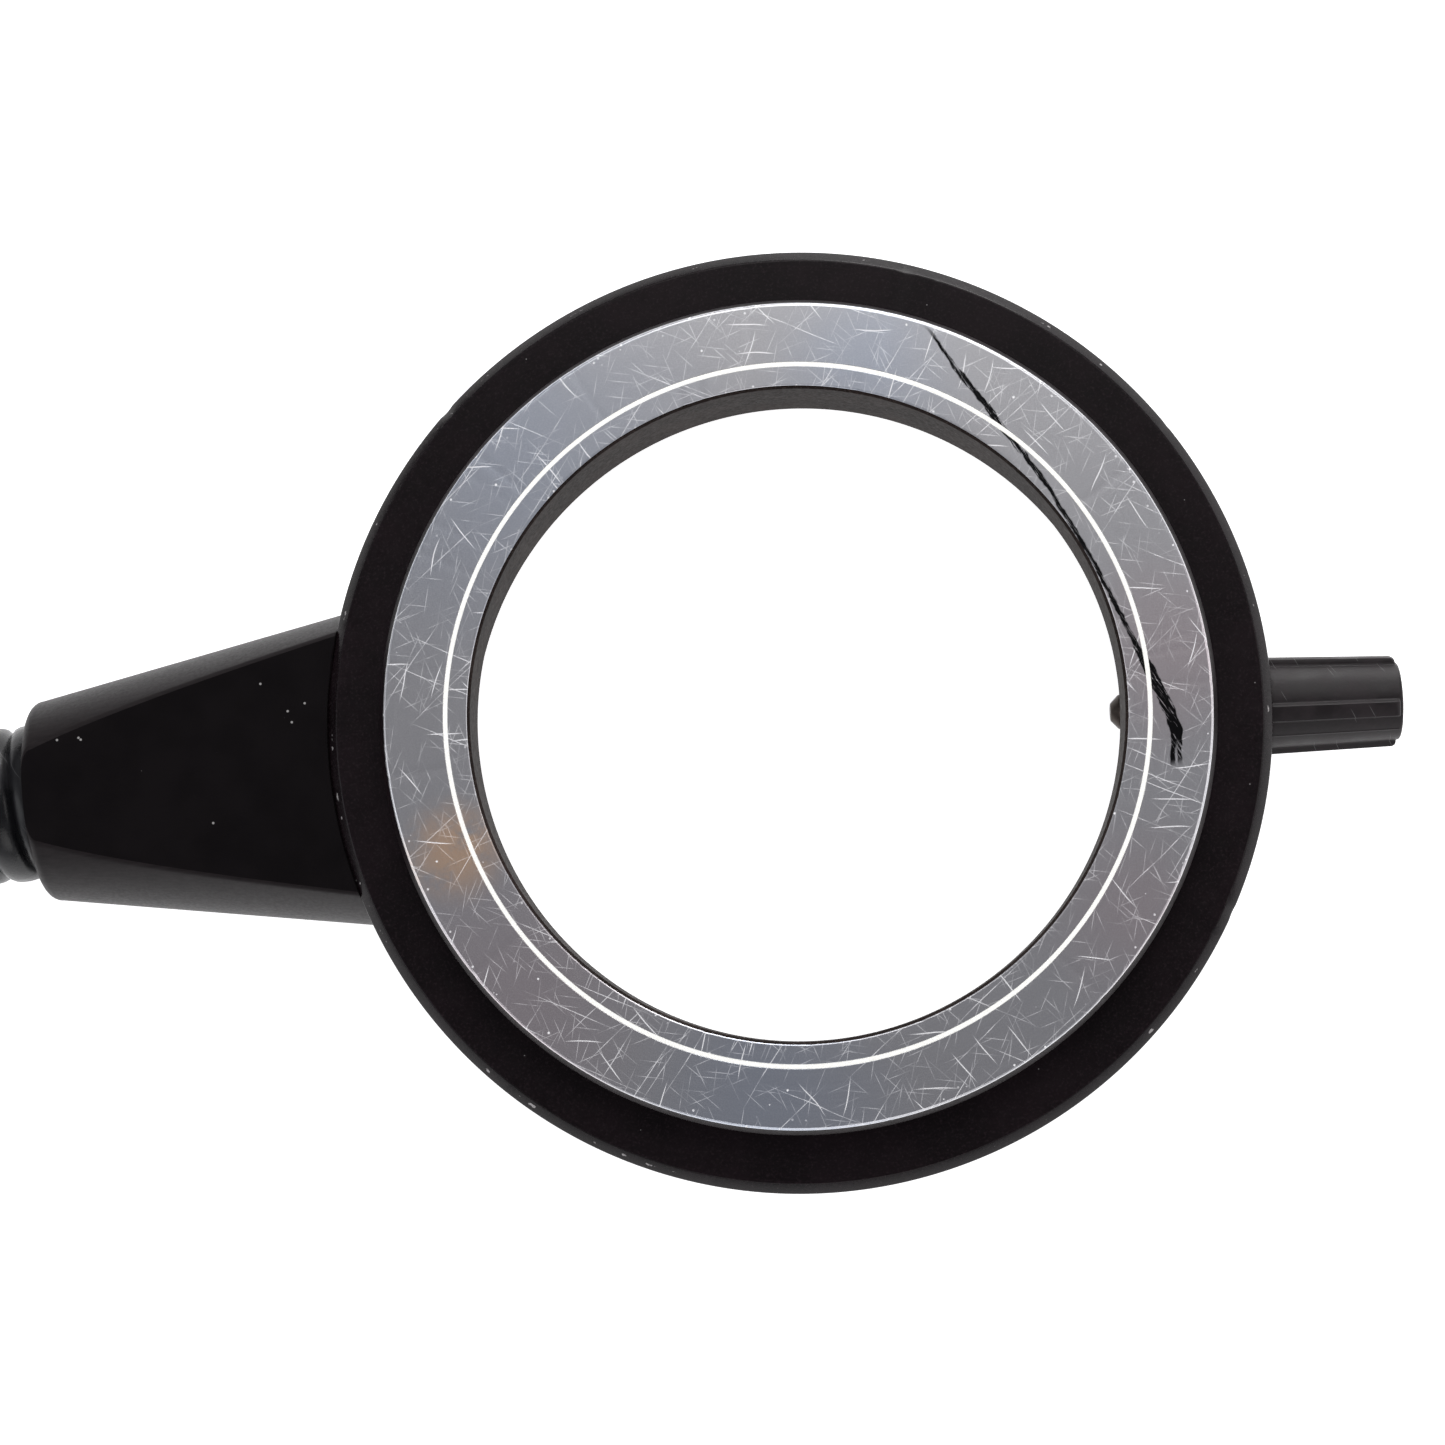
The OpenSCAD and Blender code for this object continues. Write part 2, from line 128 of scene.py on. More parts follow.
CLIMB_FROM = -345
CLIMB_TO = -405
COIL_STEP = 7.5
STRAP_AT = (-180, -540)
STRAP_LIFT = 1.0
STRAP_REACH = 14  # degrees of coil over which the strap lifts it
STRAP_W = 16

# Plug, from the boot to the ferrule, on one line along +X
PLUG_Y, PLUG_Z = TAIL[-1][1:]
BOOT_X = corner("source_boot", 0)[0]
HANDLE_X = corner("source_handle", 0)[0]
HANDLE_L = corner("source_handle", 1)[0] - HANDLE_X
HANDLE_R = PLUG_Z  # the handle lies on the floor
FERRULE_X = corner("source_ferrule", 0)[0]
PIN_X = HANDLE_X + HANDLE_L
PIN_END = corner("source_ferrule", 1)[0]
PIN_R = 7.5
PLUG_BORE_R = 7.95

# Marks in millimetres: dust on the arm's upper flat, then areas of the bare face tinted by painted
# reflections of coloured surroundings, each with its reach
ARM_DUST = [
    (-71.2, 5.1, 18.1), (-69.1, 5.1, 18.1), (-68.9, 4.9, 18.1), (-56.8, -4.4, 18.1),
    (-51.1, 8.5, 18.1), (-48.7, 5.6, 18.1), (-48.4, 4.5, 18.1), (-47.0, 6.2, 18.1),
]
# painted reflections: bluish, pinkish and warm tints that stand in for coloured surroundings mirrored in the
# bare face
BLUE_REFLECTION_PLACES = [(-25, 27, 26), (-6, -36, 16), (10, 32, 12)]
PINK_REFLECTION_PLACES = [(-29, -24, 18), (36, 2, 13), (30, -22, 12)]
WARM_REFLECTION_PLACE = (-33.2, -9.7, 0)  # one warm patch, beside the arm


# ---------------------------------------------------------------- camera, floor and light

def add_camera():
    """The camera of the photograph."""
    data = bpy.data.cameras.new("camera")
    data.lens = CAMERA_LENS
    data.sensor_width = CAMERA_SENSOR
    data.clip_start = 0.01
    camera = bpy.data.objects.new("camera", data)
    camera.location = CAMERA_AT
    camera.rotation_euler = [math.radians(angle) for angle in CAMERA_TURN]
    bpy.context.scene.collection.objects.link(camera)
    bpy.context.scene.camera = camera


def add_softbox(name, around, above, distance, size, power, colour):
    """A square soft light at a bearing and a height in degrees, aimed at the ring."""
    data = bpy.data.lights.new(name, "AREA")
    data.shape = "SQUARE"
    data.size = size
    data.energy = power
    data.color = colour
    light = bpy.data.objects.new(name, data)
    bearing, height = math.radians(around), math.radians(above)
    level = math.cos(height)
    away = Vector((math.cos(bearing) * level, math.sin(bearing) * level, math.sin(height)))
    light.location = away * distance
    light.rotation_euler = away.to_track_quat("Z", "Y").to_euler()
    bpy.context.scene.collection.objects.link(light)


def add_world():
    """Studio surroundings: grey overhead, brighter towards the horizon."""
    world = bpy.data.worlds.new("studio")
    world.use_nodes = True
    nodes, links = world.node_tree.nodes, world.node_tree.links
    place = nodes.new("ShaderNodeTexCoord")
    split = nodes.new("ShaderNodeSeparateXYZ")
    ramp = nodes.new("ShaderNodeValToRGB")
    ramp.color_ramp.elements[0].position = 0.0
    ramp.color_ramp.elements[0].color = (0.95, 0.96, 1.0, 1)
    ramp.color_ramp.elements[1].position = 0.8
    ramp.color_ramp.elements[1].color = (0.27, 0.27, 0.29, 1)
    links.new(place.outputs["Generated"], split.inputs[0])
    links.new(split.outputs["Z"], ramp.inputs[0])
    links.new(ramp.outputs["Color"], nodes["Background"].inputs["Color"])
    nodes["Background"].inputs["Strength"].default_value = 0.8
    bpy.context.scene.world = world


def add_floor(surface):
    """Pale floor, just under the rear face."""
    size = 2.0
    corners = [(-size, -size, 0), (size, -size, 0), (size, size, 0), (-size, size, 0)]
    mesh = bpy.data.meshes.new("floor")
    mesh.from_pydata(corners, [], [(0, 1, 2, 3)])
    mesh.materials.append(surface)
    floor = bpy.data.objects.new("floor", mesh)
    floor.location.z = -0.00005
    bpy.context.scene.collection.objects.link(floor)


# ---------------------------------------------------------------- mesh helpers

def closed_object(name, points, faces):
    """An object from points in millimetres, with its open rims filled and its normals outward."""
    mesh = bpy.data.meshes.new(name)
    mesh.from_pydata((np.asarray(points, float) * MM).tolist(), [], [tuple(f) for f in faces])
    build = bmesh.new()
    build.from_mesh(mesh)
    bmesh.ops.remove_doubles(build, verts=build.verts, dist=2e-7)
    bmesh.ops.dissolve_degenerate(build, edges=build.edges, dist=1e-7)
    rims = [edge for edge in build.edges if edge.is_boundary]
    if rims:
        bmesh.ops.holes_fill(build, edges=rims, sides=0)
    bmesh.ops.recalc_face_normals(build, faces=build.faces)
    build.to_mesh(mesh)
    build.free()
    made = bpy.data.objects.new(name, mesh)
    bpy.context.scene.collection.objects.link(made)
    return made


def make_piece(name, points, faces, materials, body="ring_light", paint=None, sharp=SHARP):
    """A smooth-shaded piece from points in millimetres.

    paint(centre, normal) gives a face's material index. Edges bent by more than sharp degrees stay sharp.
    """
    piece = closed_object(name, points, faces)
    mesh = piece.data
    for material in materials:
        mesh.materials.append(material)
    for face in mesh.polygons:
        face.use_smooth = True
        if paint:
            face.material_index = paint(face.center / MM, face.normal)
    mesh.set_sharp_from_angle(angle=math.radians(sharp))
    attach(piece, body)
    return piece


def rounded(outline, steps=4):
    """A closed outline of (radius, height), from one of (radius, height, rounding of the corner)."""
    result = []
    count = len(outline)
    for i, (x, y, rounding) in enumerate(outline):
        here = np.array((x, y))
        if rounding == 0:
            result.append((x, y))
            continue
        back = np.array(outline[i - 1][:2]) - here
        ahead = np.array(outline[(i + 1) % count][:2]) - here
        reach_back, reach_ahead = np.linalg.norm(back), np.linalg.norm(ahead)
        back, ahead = back / reach_back, ahead / reach_ahead
        reach = min(rounding, 0.45 * reach_back, 0.45 * reach_ahead)
        for k in range(steps + 1):
            t = k / steps
            point = here + (1 - t) ** 2 * reach * back + t ** 2 * reach * ahead
            result.append(tuple(point))
    return result


def band_faces(rows, wide, closed=False):
    """Faces between rows of points that each run round once. closed joins the last row to the first."""
    faces = []
    for i in range(rows if closed else rows - 1):
        n = (i + 1) % rows
        for j in range(wide):
            k = (j + 1) % wide
            faces.append((i * wide + j, n * wide + j, n * wide + k, i * wide + k))
    return faces


def lathe(outline, segments):
    """Points and faces of a closed outline of (radius, height) turned about Z."""
    angles = np.arange(segments) * 2 * np.pi / segments
    rows = len(outline)
    radius = np.array([p[0] for p in outline])
    height = np.array([p[1] for p in outline])
    points = np.stack([
        np.outer(np.cos(angles), radius), np.outer(np.sin(angles), radius), np.tile(height, (segments, 1))
    ], axis=2).reshape(-1, 3)
    faces = []
    for i in range(segments):
        n = (i + 1) % segments
        for j in range(rows):
            k = (j + 1) % rows
            if radius[j] > 1e-6 or radius[k] > 1e-6:
                faces.append((i * rows + j, n * rows + j, n * rows + k, i * rows + k))
    return points, faces


def chip(points, at, size, depth, toward):
    """Dents the points within size of a place, towards a direction."""
    offset = points - np.array(at)
    near = np.clip(1 - np.linalg.norm(offset / np.array(size), axis=1), 0, 1)
    push = np.array(toward, float)
    points += np.outer(depth * np.sqrt(near) * (near > 0), push / np.linalg.norm(push))


def along_plug(points, x):
    """Turns points made about Z so that Z runs along the plug, from x."""
    points = np.asarray(points)
    return np.stack([points[:, 2] + x, points[:, 1] + PLUG_Y, PLUG_Z - points[:, 0]], axis=1)


def along_screw(points, distance=0):
    """Turns points made about Z so that Z runs out along the clamp screw, from a distance to the axis."""
    points = np.asarray(points)
    out, side, up = points[:, 2] + distance, points[:, 1], -points[:, 0]
    c, s = math.cos(SCREW_TURN), math.sin(SCREW_TURN)
    return np.stack([out * c - side * s, out * s + side * c, up + AXIS_Z], axis=1)


def helical_tube(route, pitch, samples, sides, profile):
    """Points and faces of a tube with a helical profile.

    profile gives the radius for turns along the helix. samples are rows to a pitch.
    """
    route = np.asarray(route, float)
    steps = np.linalg.norm(np.diff(route, axis=0), axis=1)
    run = np.concatenate([[0], np.cumsum(steps)])
    length = run[-1]
    tangent = np.gradient(route, run, axis=0)
    rows = samples * (math.ceil(length / pitch) + 1) + 1
    row = np.repeat(np.arange(rows), sides) / samples
    column = np.tile(np.arange(sides), rows) / sides
    place = np.clip((row - column) * pitch, 0, length)
    radius = profile(place / pitch + column)
    centre = np.stack([np.interp(place, run, route[:, k]) for k in range(3)], axis=1)
    ahead = np.stack([np.interp(place, run, tangent[:, k]) for k in range(3)], axis=1)
    ahead /= np.linalg.norm(ahead, axis=1)[:, None]
    side = np.cross(ahead, (0, 0, 1))
    side /= np.linalg.norm(side, axis=1)[:, None]
    up = np.cross(side, ahead)
    angle = column * 2 * np.pi
    around = np.cos(angle)[:, None] * side + np.sin(angle)[:, None] * up
    points = centre + radius[:, None] * around
    faces = []
    for i in range(rows - 1):
        for k in range(sides - 1):
            a, b = i * sides + k, (i + 1) * sides + k
            faces.append((a, b, b + 1, a + 1))
        low, high = max(i - samples, 0), max(i + 1 - samples, 0)
        seam = [i * sides + sides - 1, (i + 1) * sides + sides - 1, high * sides, low * sides]
        if high == low:
            seam.pop()
        faces.append(tuple(seam))
    return points, faces


def spline(points, steps=24):
    """A smooth line through a list of points."""
    points = np.asarray(points, float)
    before = 2 * points[0] - points[1]
    after = 2 * points[-1] - points[-2]
    p = np.vstack([before, points, after])
    line = []
    for i in range(1, len(p) - 2):
        for k in range(steps):
            t = k / steps
            line.append(0.5 * (
                2 * p[i] + (p[i + 1] - p[i - 1]) * t
                + (2 * p[i - 1] - 5 * p[i] + 4 * p[i + 1] - p[i + 2]) * t ** 2
                + (3 * p[i] - p[i - 1] - 3 * p[i + 1] + p[i + 2]) * t ** 3
            ))
    line.append(p[-2])
    return np.array(line)


# ---------------------------------------------------------------- material helpers

class Surface:
    """A material under construction. Values may be numbers, tuples or another node's output."""

    def __init__(self, name, **shader):
        self.material = bpy.data.materials.new(name)
        self.material.use_nodes = True
        self.tree = self.material.node_tree
        self.shader = self.tree.nodes["Principled BSDF"]
        for label, value in shader.items():
            self.set(self.shader.inputs[label.replace("_", " ")], value)
        self.metres = self.node("ShaderNodeTexCoord").outputs["Object"]
        self.place = self.scaled(self.metres, (1 / MM,) * 3)

    def set(self, socket, value):
        if isinstance(value, bpy.types.NodeSocket):
            self.tree.links.new(value, socket)
        elif socket.type == "RGBA" and len(value) == 3:
            socket.default_value = (*value, 1)
        else:
            socket.default_value = value

    def node(self, kind, inputs=(), **settings):
        node = self.tree.nodes.new(kind)
        for key, value in settings.items():
            setattr(node, key, value)
        for key, value in dict(inputs).items():
            self.set(node.inputs[key], value)
        return node

    def use(self, label, value):
        self.set(self.shader.inputs[label], value)

    def math(self, operation, a, b=0.0):
        return self.node("ShaderNodeMath", {0: a, 1: b}, operation=operation).outputs[0]

    def times(self, a, b):
        return self.math("MULTIPLY", a, b)

    def plus(self, a, b):
        return self.math("ADD", a, b)

    def minus(self, a, b):
        return self.math("SUBTRACT", a, b)

    def vector(self, operation, *inputs):
        """Result of a vector operation: a number for a length or a distance, or else a vector."""
        node = self.node("ShaderNodeVectorMath", enumerate(inputs), operation=operation)
        return node.outputs["Value" if operation in ("LENGTH", "DISTANCE") else "Vector"]

    def scaled(self, vector, factors):
        return self.vector("MULTIPLY", vector, factors)

    def parts(self, vector):
        return self.node("ShaderNodeSeparateXYZ", {0: vector}).outputs

    def joined(self, x, y, z):
        return self.node("ShaderNodeCombineXYZ", {0: x, 1: y, 2: z}).outputs[0]

    def turned(self, vector, angle):
        """A vector turned about Z by an angle in degrees."""
        turn = {"Vector": vector, "Angle": math.radians(angle)}
        return self.node("ShaderNodeVectorRotate", turn, rotation_type="Z_AXIS").outputs[0]

    def noise(self, vector, scale=1.0, detail=2.0, roughness=0.5, output=0):
        """Soft noise: output 0 is a number and output 1 a colour."""
        grain = {"Vector": vector, "Scale": scale, "Detail": detail, "Roughness": roughness}
        return self.node("ShaderNodeTexNoise", grain).outputs[output]

    def cells(self, vector, scale=1.0, flat=False):
        """Distance to the nearest of many scattered points."""
        spread = {"Vector": vector, "Scale": scale}
        node = self.node("ShaderNodeTexVoronoi", spread, voronoi_dimensions="2D" if flat else "3D")
        return node.outputs["Distance"]

    def fade(self, value, start, end, low=0.0, high=1.0):
        """Goes smoothly from low to high as value goes from start to end."""
        span = {"Value": value, "From Min": start, "From Max": end, "To Min": low, "To Max": high}
        return self.node("ShaderNodeMapRange", span, interpolation_type="SMOOTHSTEP").outputs[0]

    def mix(self, factor, a, b):
        """A colour between a and b. A colour mix has its inputs at 0, 6 and 7 and its output at 2."""
        return self.node("ShaderNodeMix", {0: factor, 6: a, 7: b}, data_type="RGBA").outputs[2]

    def any_of(self, first, *others):
        for other in others:
            first = self.math("MAXIMUM", first, other)
        return first

    def bump(self, height, distance, strength):
        """Bump that is as deep as distance, in millimetres, for a height of 1."""
        relief = {"Height": height, "Distance": distance * MM, "Strength": strength}
        self.use("Normal", self.node("ShaderNodeBump", relief).outputs[0])

    def warped(self, vector, scale, amount):
        """A vector moved about by a soft noise, in millimetres."""
        centred = self.vector("SUBTRACT", self.noise(vector, scale, 1.0, output=1), (0.5, 0.5, 0.5))
        return self.vector("ADD", vector, self.scaled(centred, (amount, amount, 0)))

    def scratches(self, vector, angle, length, width, spacing, curl=1.2):
        """Thin straight or slightly curved marks at one angle: 1 on a mark, 0 elsewhere."""
        lane = self.turned(self.warped(vector, 0.12, curl), angle)
        cell = self.scaled(lane, (1 / (length * spacing), 1 / (width * spacing), 1))
        spot = self.cells(cell, 1.0, flat=True)
        reach = 0.5 / spacing
        return self.fade(spot, reach, reach * 0.45)

    def specks(self, vector, spacing, size):
        """Small round specks: about one in each cube of the given spacing."""
        spot = self.cells(vector, 1 / spacing)
        return self.fade(spot, size / spacing, 0.6 * size / spacing)

    def rings(self, fine, wander=1.5):
        """Noise drawn out around Z, as a lathe tool leaves it, with fine marks a millimetre."""
        x, y, z = self.parts(self.place)[:3]
        flat = self.joined(x, y, 0.0)
        radius = self.vector("LENGTH", flat)
        cosine, sine = self.parts(self.vector("NORMALIZE", flat))[:2]
        line = self.joined(self.times(radius, fine), self.times(z, fine), self.times(cosine, wander))
        grain = {"Vector": line, "W": self.times(sine, wander), "Scale": 1.0, "Detail": 3.0}
        return self.node("ShaderNodeTexNoise", grain, noise_dimensions="4D").outputs[0], radius, z


def lapped_aluminium():
    """Bare lapped face: fine grain, many scratches and nicks, painted reflections as faint tinted areas, and
    one dark smear.
    """
    s = Surface("lapped_aluminium", Metallic=1.0)
    flat = s.scaled(s.place, (1, 1, 0))
    grain, radius, _ = s.rings(5.0, 2.5)
    speckle = s.noise(flat, 6.0, 3.0, 0.6)
    cloud = s.noise(flat, 0.07, 2.0, 0.5)
    haze = s.noise(flat, 0.45, 3.0, 0.6)

    def hatched(angles, *shape):
        return s.any_of(*[s.scratches(flat, angle, *shape) for angle in angles])

    fine = hatched((-62, -17, 12, 47, 71, 104), 3.5, 0.10, 5.5, 0.4)
    long = hatched((-38, 28, 128), 12.0, 0.11, 7.0, 0.6)
    bold = hatched((-70, 8, 56), 4.5, 0.14, 12.0, 1.8)
    nicks = s.specks(flat, 2.8, 0.15)
    rim = s.any_of(s.fade(radius, FACE_R - 1.6, FACE_R), s.fade(radius, THROAT_R + 0.9, THROAT_R + 0.3))
    worn = s.times(s.specks(flat, 1.1, 0.14), rim)
    patchy = s.fade(haze, 0.35, 0.6, 0.3, 1.0)
    marks = s.any_of(s.times(fine, 0.42), s.times(long, 0.70))
    marks = s.times(marks, patchy)
    marks = s.any_of(marks, s.times(bold, 0.9), s.any_of(nicks, worn))
    # painted reflections of coloured surroundings: bluish and pinkish areas over the neutral base, with one
    # warm patch beside the arm
    colour = (0.52, 0.52, 0.54)
    for tint, places in (((0.46, 0.50, 0.58), BLUE_REFLECTION_PLACES), ((0.54, 0.48, 0.50), PINK_REFLECTION_PLACES)):
        for x, y, reach in places:
            away = s.plus(s.vector("DISTANCE", flat, (x, y, 0)), s.times(cloud, 8.0))
            colour = s.mix(s.fade(away, reach + 4, 4, 0.0, 0.9), colour, tint)
    # painted reflection: the warm patch beside the arm
    warm = s.fade(s.vector("DISTANCE", flat, WARM_REFLECTION_PLACE), 6.0, 1.0)
    warm = s.times(warm, s.fade(haze, 0.22, 0.56))
    colour = s.mix(s.times(warm, 0.9), colour, (0.90, 0.62, 0.42))
    colour = s.mix(s.fade(speckle, 0.35, 0.75, 0.0, 0.2), colour, (0.78, 0.78, 0.80))
    colour = s.mix(marks, colour, (0.93, 0.93, 0.94))
    colour = s.mix(smear(s, flat), colour, (0.012, 0.012, 0.013))
    s.use("Base Color", colour)
    s.use("Metallic", s.minus(1.0, s.times(marks, 0.85)))
    rough = s.fade(s.any_of(marks, s.times(grain, 0.3)), 0.0, 1.0, 0.30, 0.52)
    s.use("Roughness", rough)
    height = s.minus(s.times(speckle, 0.25), marks)
    s.bump(height, 0.008, 0.6)
    return s.material


def smear(s, flat):
    """Dark hatched streak along an arc across the face: thin at its start, broad and split at its end."""
    centre, arc_r = (-77.7, -33.4, 0), 115.5
    start, end = 36.6, 12.3
    offset = s.vector("SUBTRACT", flat, centre)
    reach = s.vector("LENGTH", offset)
    x, y = s.parts(offset)[:2]
    bearing = s.times(s.math("ARCTAN2", y, x), 180 / math.pi)

    def along(first, last, low=0, high=1):
        """Goes from low to high between two bearings from the arc's centre, in degrees."""
        return s.fade(bearing, first, last, low, high)

    sway = s.plus(along(33.5, 36.5, 0, 0.5), along(30.5, 27, 0, 0.28))
    sway = s.plus(sway, s.plus(along(19.5, 14.5, 0, 0.55), along(14.2, 12.4, 0, -1.05)))
    wobble = s.times(s.minus(s.noise(flat, 0.8, 2.0), 0.5), 0.5)
    aside = s.minus(reach, s.plus(sway, s.plus(wobble, arc_r)))
    away = s.math("ABSOLUTE", aside)
    width = s.plus(along(30, 27, 0, -0.08), along(19.2, 16.5, 0, 0.36))
    width = s.plus(along(36, 32, 0.15, 0.30), width)
    inside = s.minus(width, away)
    core = s.fade(inside, -0.05, 0.08)
    split = s.times(along(13.6, 12.9), s.fade(away, 0.16, 0.06))
    run = s.times(along(end, end + 0.5), along(start, start - 1.2))
    run = s.times(run, s.minus(1.0, split))
    hatch = s.noise(s.scaled(s.turned(flat, 62), (0.5, 5.0, 1)), 1.0, 3.0, 0.65)
    broken = s.fade(hatch, 0.33, 0.46)
    solid = s.any_of(broken, s.fade(away, 0.16, 0.06, 0.0, 0.85))
    return s.times(s.times(core, run), solid)


def anodised(name, colour, roughness, turned_marks=True, edges=(), specular=0.3):
    """Satin anodised aluminium: tool marks, small dust specks, and bare metal at worn edges.

    edges lists (radius, height, reach) of turned edges that wear.
    """
    s = Surface(name, Specular_IOR_Level=specular)
    grain, radius, z = s.rings(7.0, 1.2)
    mottle = s.noise(s.place, 0.18, 3.0, 0.6)
    dull = s.noise(s.place, 2.2, 3.0, 0.6)
    light = tuple(min(1, 2.8 * c + 0.001) for c in colour)
    shade = s.mix(s.fade(mottle, 0.35, 0.7, 0.0, 0.5), colour, light)
    grit = s.noise(s.place, 4.0, 2.0, 0.7)
    shade = s.mix(s.fade(grit, 0.50, 0.72), shade, tuple(3.0 * c + 0.005 for c in colour))
    if turned_marks:
        shade = s.mix(s.fade(grain, 0.55, 0.75, 0.0, 0.5), shade, light)
    spots = s.times(s.specks(s.place, 2.6, 0.075), 0.5)
    shade = s.mix(spots, shade, (0.45, 0.44, 0.44))
    bare = None
    for edge_r, edge_z, reach in edges:
        away_r = s.math("ABSOLUTE", s.minus(radius, edge_r))
        away_z = s.math("ABSOLUTE", s.minus(z, edge_z))
        near = s.fade(s.plus(away_r, away_z), reach, 0.0)
        mark = s.fade(s.times(near, s.noise(s.place, 0.5, 3.0, 0.7)), 0.60, 0.66)
        bare = mark if bare is None else s.any_of(bare, mark)
    if bare is not None:
        shade = s.mix(s.times(bare, 0.8), shade, (0.40, 0.38, 0.38))
    s.use("Base Color", shade)
    s.use("Roughness", s.fade(dull, 0.2, 0.8, roughness - 0.06, roughness + 0.10))
    height = s.plus(s.times(grain, 1.0 if turned_marks else 0.15), s.times(dull, 0.35))
    s.bump(height, 0.010, 0.5)
    return s.material


def milled_black():
    """Arm's cone: fine lengthwise streaks, small specks."""
    s = Surface("anodised_arm", Specular_IOR_Level=0.20)
    streak = s.noise(s.scaled(s.place, (0.10, 3.5, 3.5)), 1.0, 3.0, 0.6)
    dull = s.noise(s.place, 3.0, 3.0, 0.6)
    shade = s.mix(s.fade(streak, 0.3, 0.7), (0.0060, 0.0038, 0.0044), (0.0110, 0.0078, 0.0086))
    s.use("Base Color", dusted(s, shade))
    s.use("Roughness", s.fade(dull, 0.2, 0.8, 0.40, 0.54))
    s.bump(s.plus(streak, s.times(dull, 0.5)), 0.008, 0.5)
    return s.material


def milled_flat():
    """Arm's milled flats: near-black and matte."""
    s = Surface("anodised_flat", Specular_IOR_Level=0.08)
    dull = s.noise(s.place, 3.0, 3.0, 0.6)
    mottle = s.noise(s.place, 0.2, 2.0, 0.5)
    shade = s.mix(s.fade(mottle, 0.3, 0.7), (0.0022, 0.0013, 0.0018), (0.0040, 0.0028, 0.0034))
    s.use("Base Color", dusted(s, shade))
    s.use("Roughness", s.fade(dull, 0.2, 0.8, 0.46, 0.60))
    s.bump(dull, 0.010, 0.5)
    return s.material


def dusted(s, shade):
    """A shade with a few larger specks of dust and many fine ones."""
    spots = s.any_of(s.specks(s.place, 9.0, 0.14), s.times(s.specks(s.place, 4.0, 0.05), 0.3))
    for place in ARM_DUST:
        spots = s.any_of(spots, s.fade(s.vector("DISTANCE", s.place, place), 0.15, 0.07))
    return s.mix(s.times(spots, 0.7), shade, (0.50, 0.49, 0.48))


def polished_fibre_ends(name, size, light):
    """Packed polished fibre ends. A light above 0 is an emission strength that paints a glow on them, for
    how white they show under the studio light.
    """
    s = Surface(name, Roughness=0.25)
    cell = s.cells(s.place, 1 / size)
    lit = s.fade(cell, 0.75, 0.2, 0.55, 1.0)
    colour = s.mix(lit, (0.55, 0.54, 0.48), (0.97, 0.97, 0.94))
    s.use("Base Color", colour)
    # painted glow: emission in the fibres' own colour makes the ends glow though they are no lamp
    if light:
        s.use("Emission Color", colour)
        s.use("Emission Strength", light)
    s.bump(lit, size * 0.2, 0.6)
    return s.material


def loose_fibres():
    """Glass fibres seen from the side: fine strands along the bundle."""
    s = Surface("glass_fibres", Roughness=0.35)
    strand = s.noise(s.scaled(s.place, (0.2, 9, 9)), 1.0, 3.0, 0.6)
    s.use("Base Color", s.mix(s.fade(strand, 0.35, 0.65), (0.50, 0.47, 0.38), (0.90, 0.88, 0.80)))
    s.bump(strand, 0.05, 0.8)
    return s.material


def cast_resin():
    """Amber potting resin with small bubbles."""
    s = Surface("resin", Roughness=0.22)
    cloud = s.noise(s.place, 0.4, 3.0, 0.6)
    bubbles = s.specks(s.place, 1.6, 0.22)
    shade = s.mix(s.fade(cloud, 0.3, 0.7), (0.36, 0.20, 0.05), (0.55, 0.36, 0.12))
    s.use("Base Color", s.mix(s.times(bubbles, 0.5), shade, (0.75, 0.60, 0.35)))
    s.bump(bubbles, 0.05, 0.6)
    return s.material


def machined(name, colour, roughness, streak_axis, tint=(0.25, 0.22, 0.20)):
    """Turned or ground metal. streak_axis is the number of tool marks a millimetre along X, Y and Z."""
    s = Surface(name, Metallic=1.0)
    marks = s.noise(s.scaled(s.place, streak_axis), 1.0, 3.0, 0.6)
    stain = s.noise(s.place, 0.35, 3.0, 0.6)
    shade = s.mix(s.fade(stain, 0.5, 0.8, 0.0, 0.5), colour, tint)
    shade = s.mix(s.fade(marks, 0.5, 0.8, 0.0, 0.35), shade, tuple(min(1, 1.4 * c) for c in colour))
    fine = s.any_of(s.scratches(s.place, 25, 2.0, 0.05, 9.0), s.scratches(s.place, 110, 1.5, 0.04, 10.0))
    s.use("Base Color", s.mix(s.times(fine, 0.4), shade, (0.85, 0.85, 0.85)))
    s.use("Roughness", s.fade(stain, 0.2, 0.8, roughness - 0.08, roughness + 0.12))
    s.bump(marks, 0.008, 0.6)
    return s.material


def moulded(name, colour, roughness, texture, depth, specular=0.5):
    """Moulded plastic or rubber: spark-eroded texture, faint handling marks and dust."""
    s = Surface(name, Specular_IOR_Level=specular)
    skin = s.noise(s.place, texture, 3.0, 0.6)
    handling = s.noise(s.place, 0.35, 3.0, 0.6)
    light = tuple(min(1, 2.0 * c + 0.002) for c in colour)
    shade = s.mix(s.fade(handling, 0.4, 0.7, 0.0, 0.7), colour, light)
    spots = s.times(s.specks(s.place, 3.2, 0.07), 0.35)
    rub = s.times(s.scratches(s.place, 65, 1.6, 0.06, 11.0), 0.25)
    s.use("Base Color", s.mix(s.any_of(spots, rub), shade, (0.40, 0.40, 0.40)))
    s.use("Roughness", s.fade(handling, 0.25, 0.75, roughness - 0.06, roughness + 0.10))
    s.bump(skin, depth, 0.6)
    return s.material


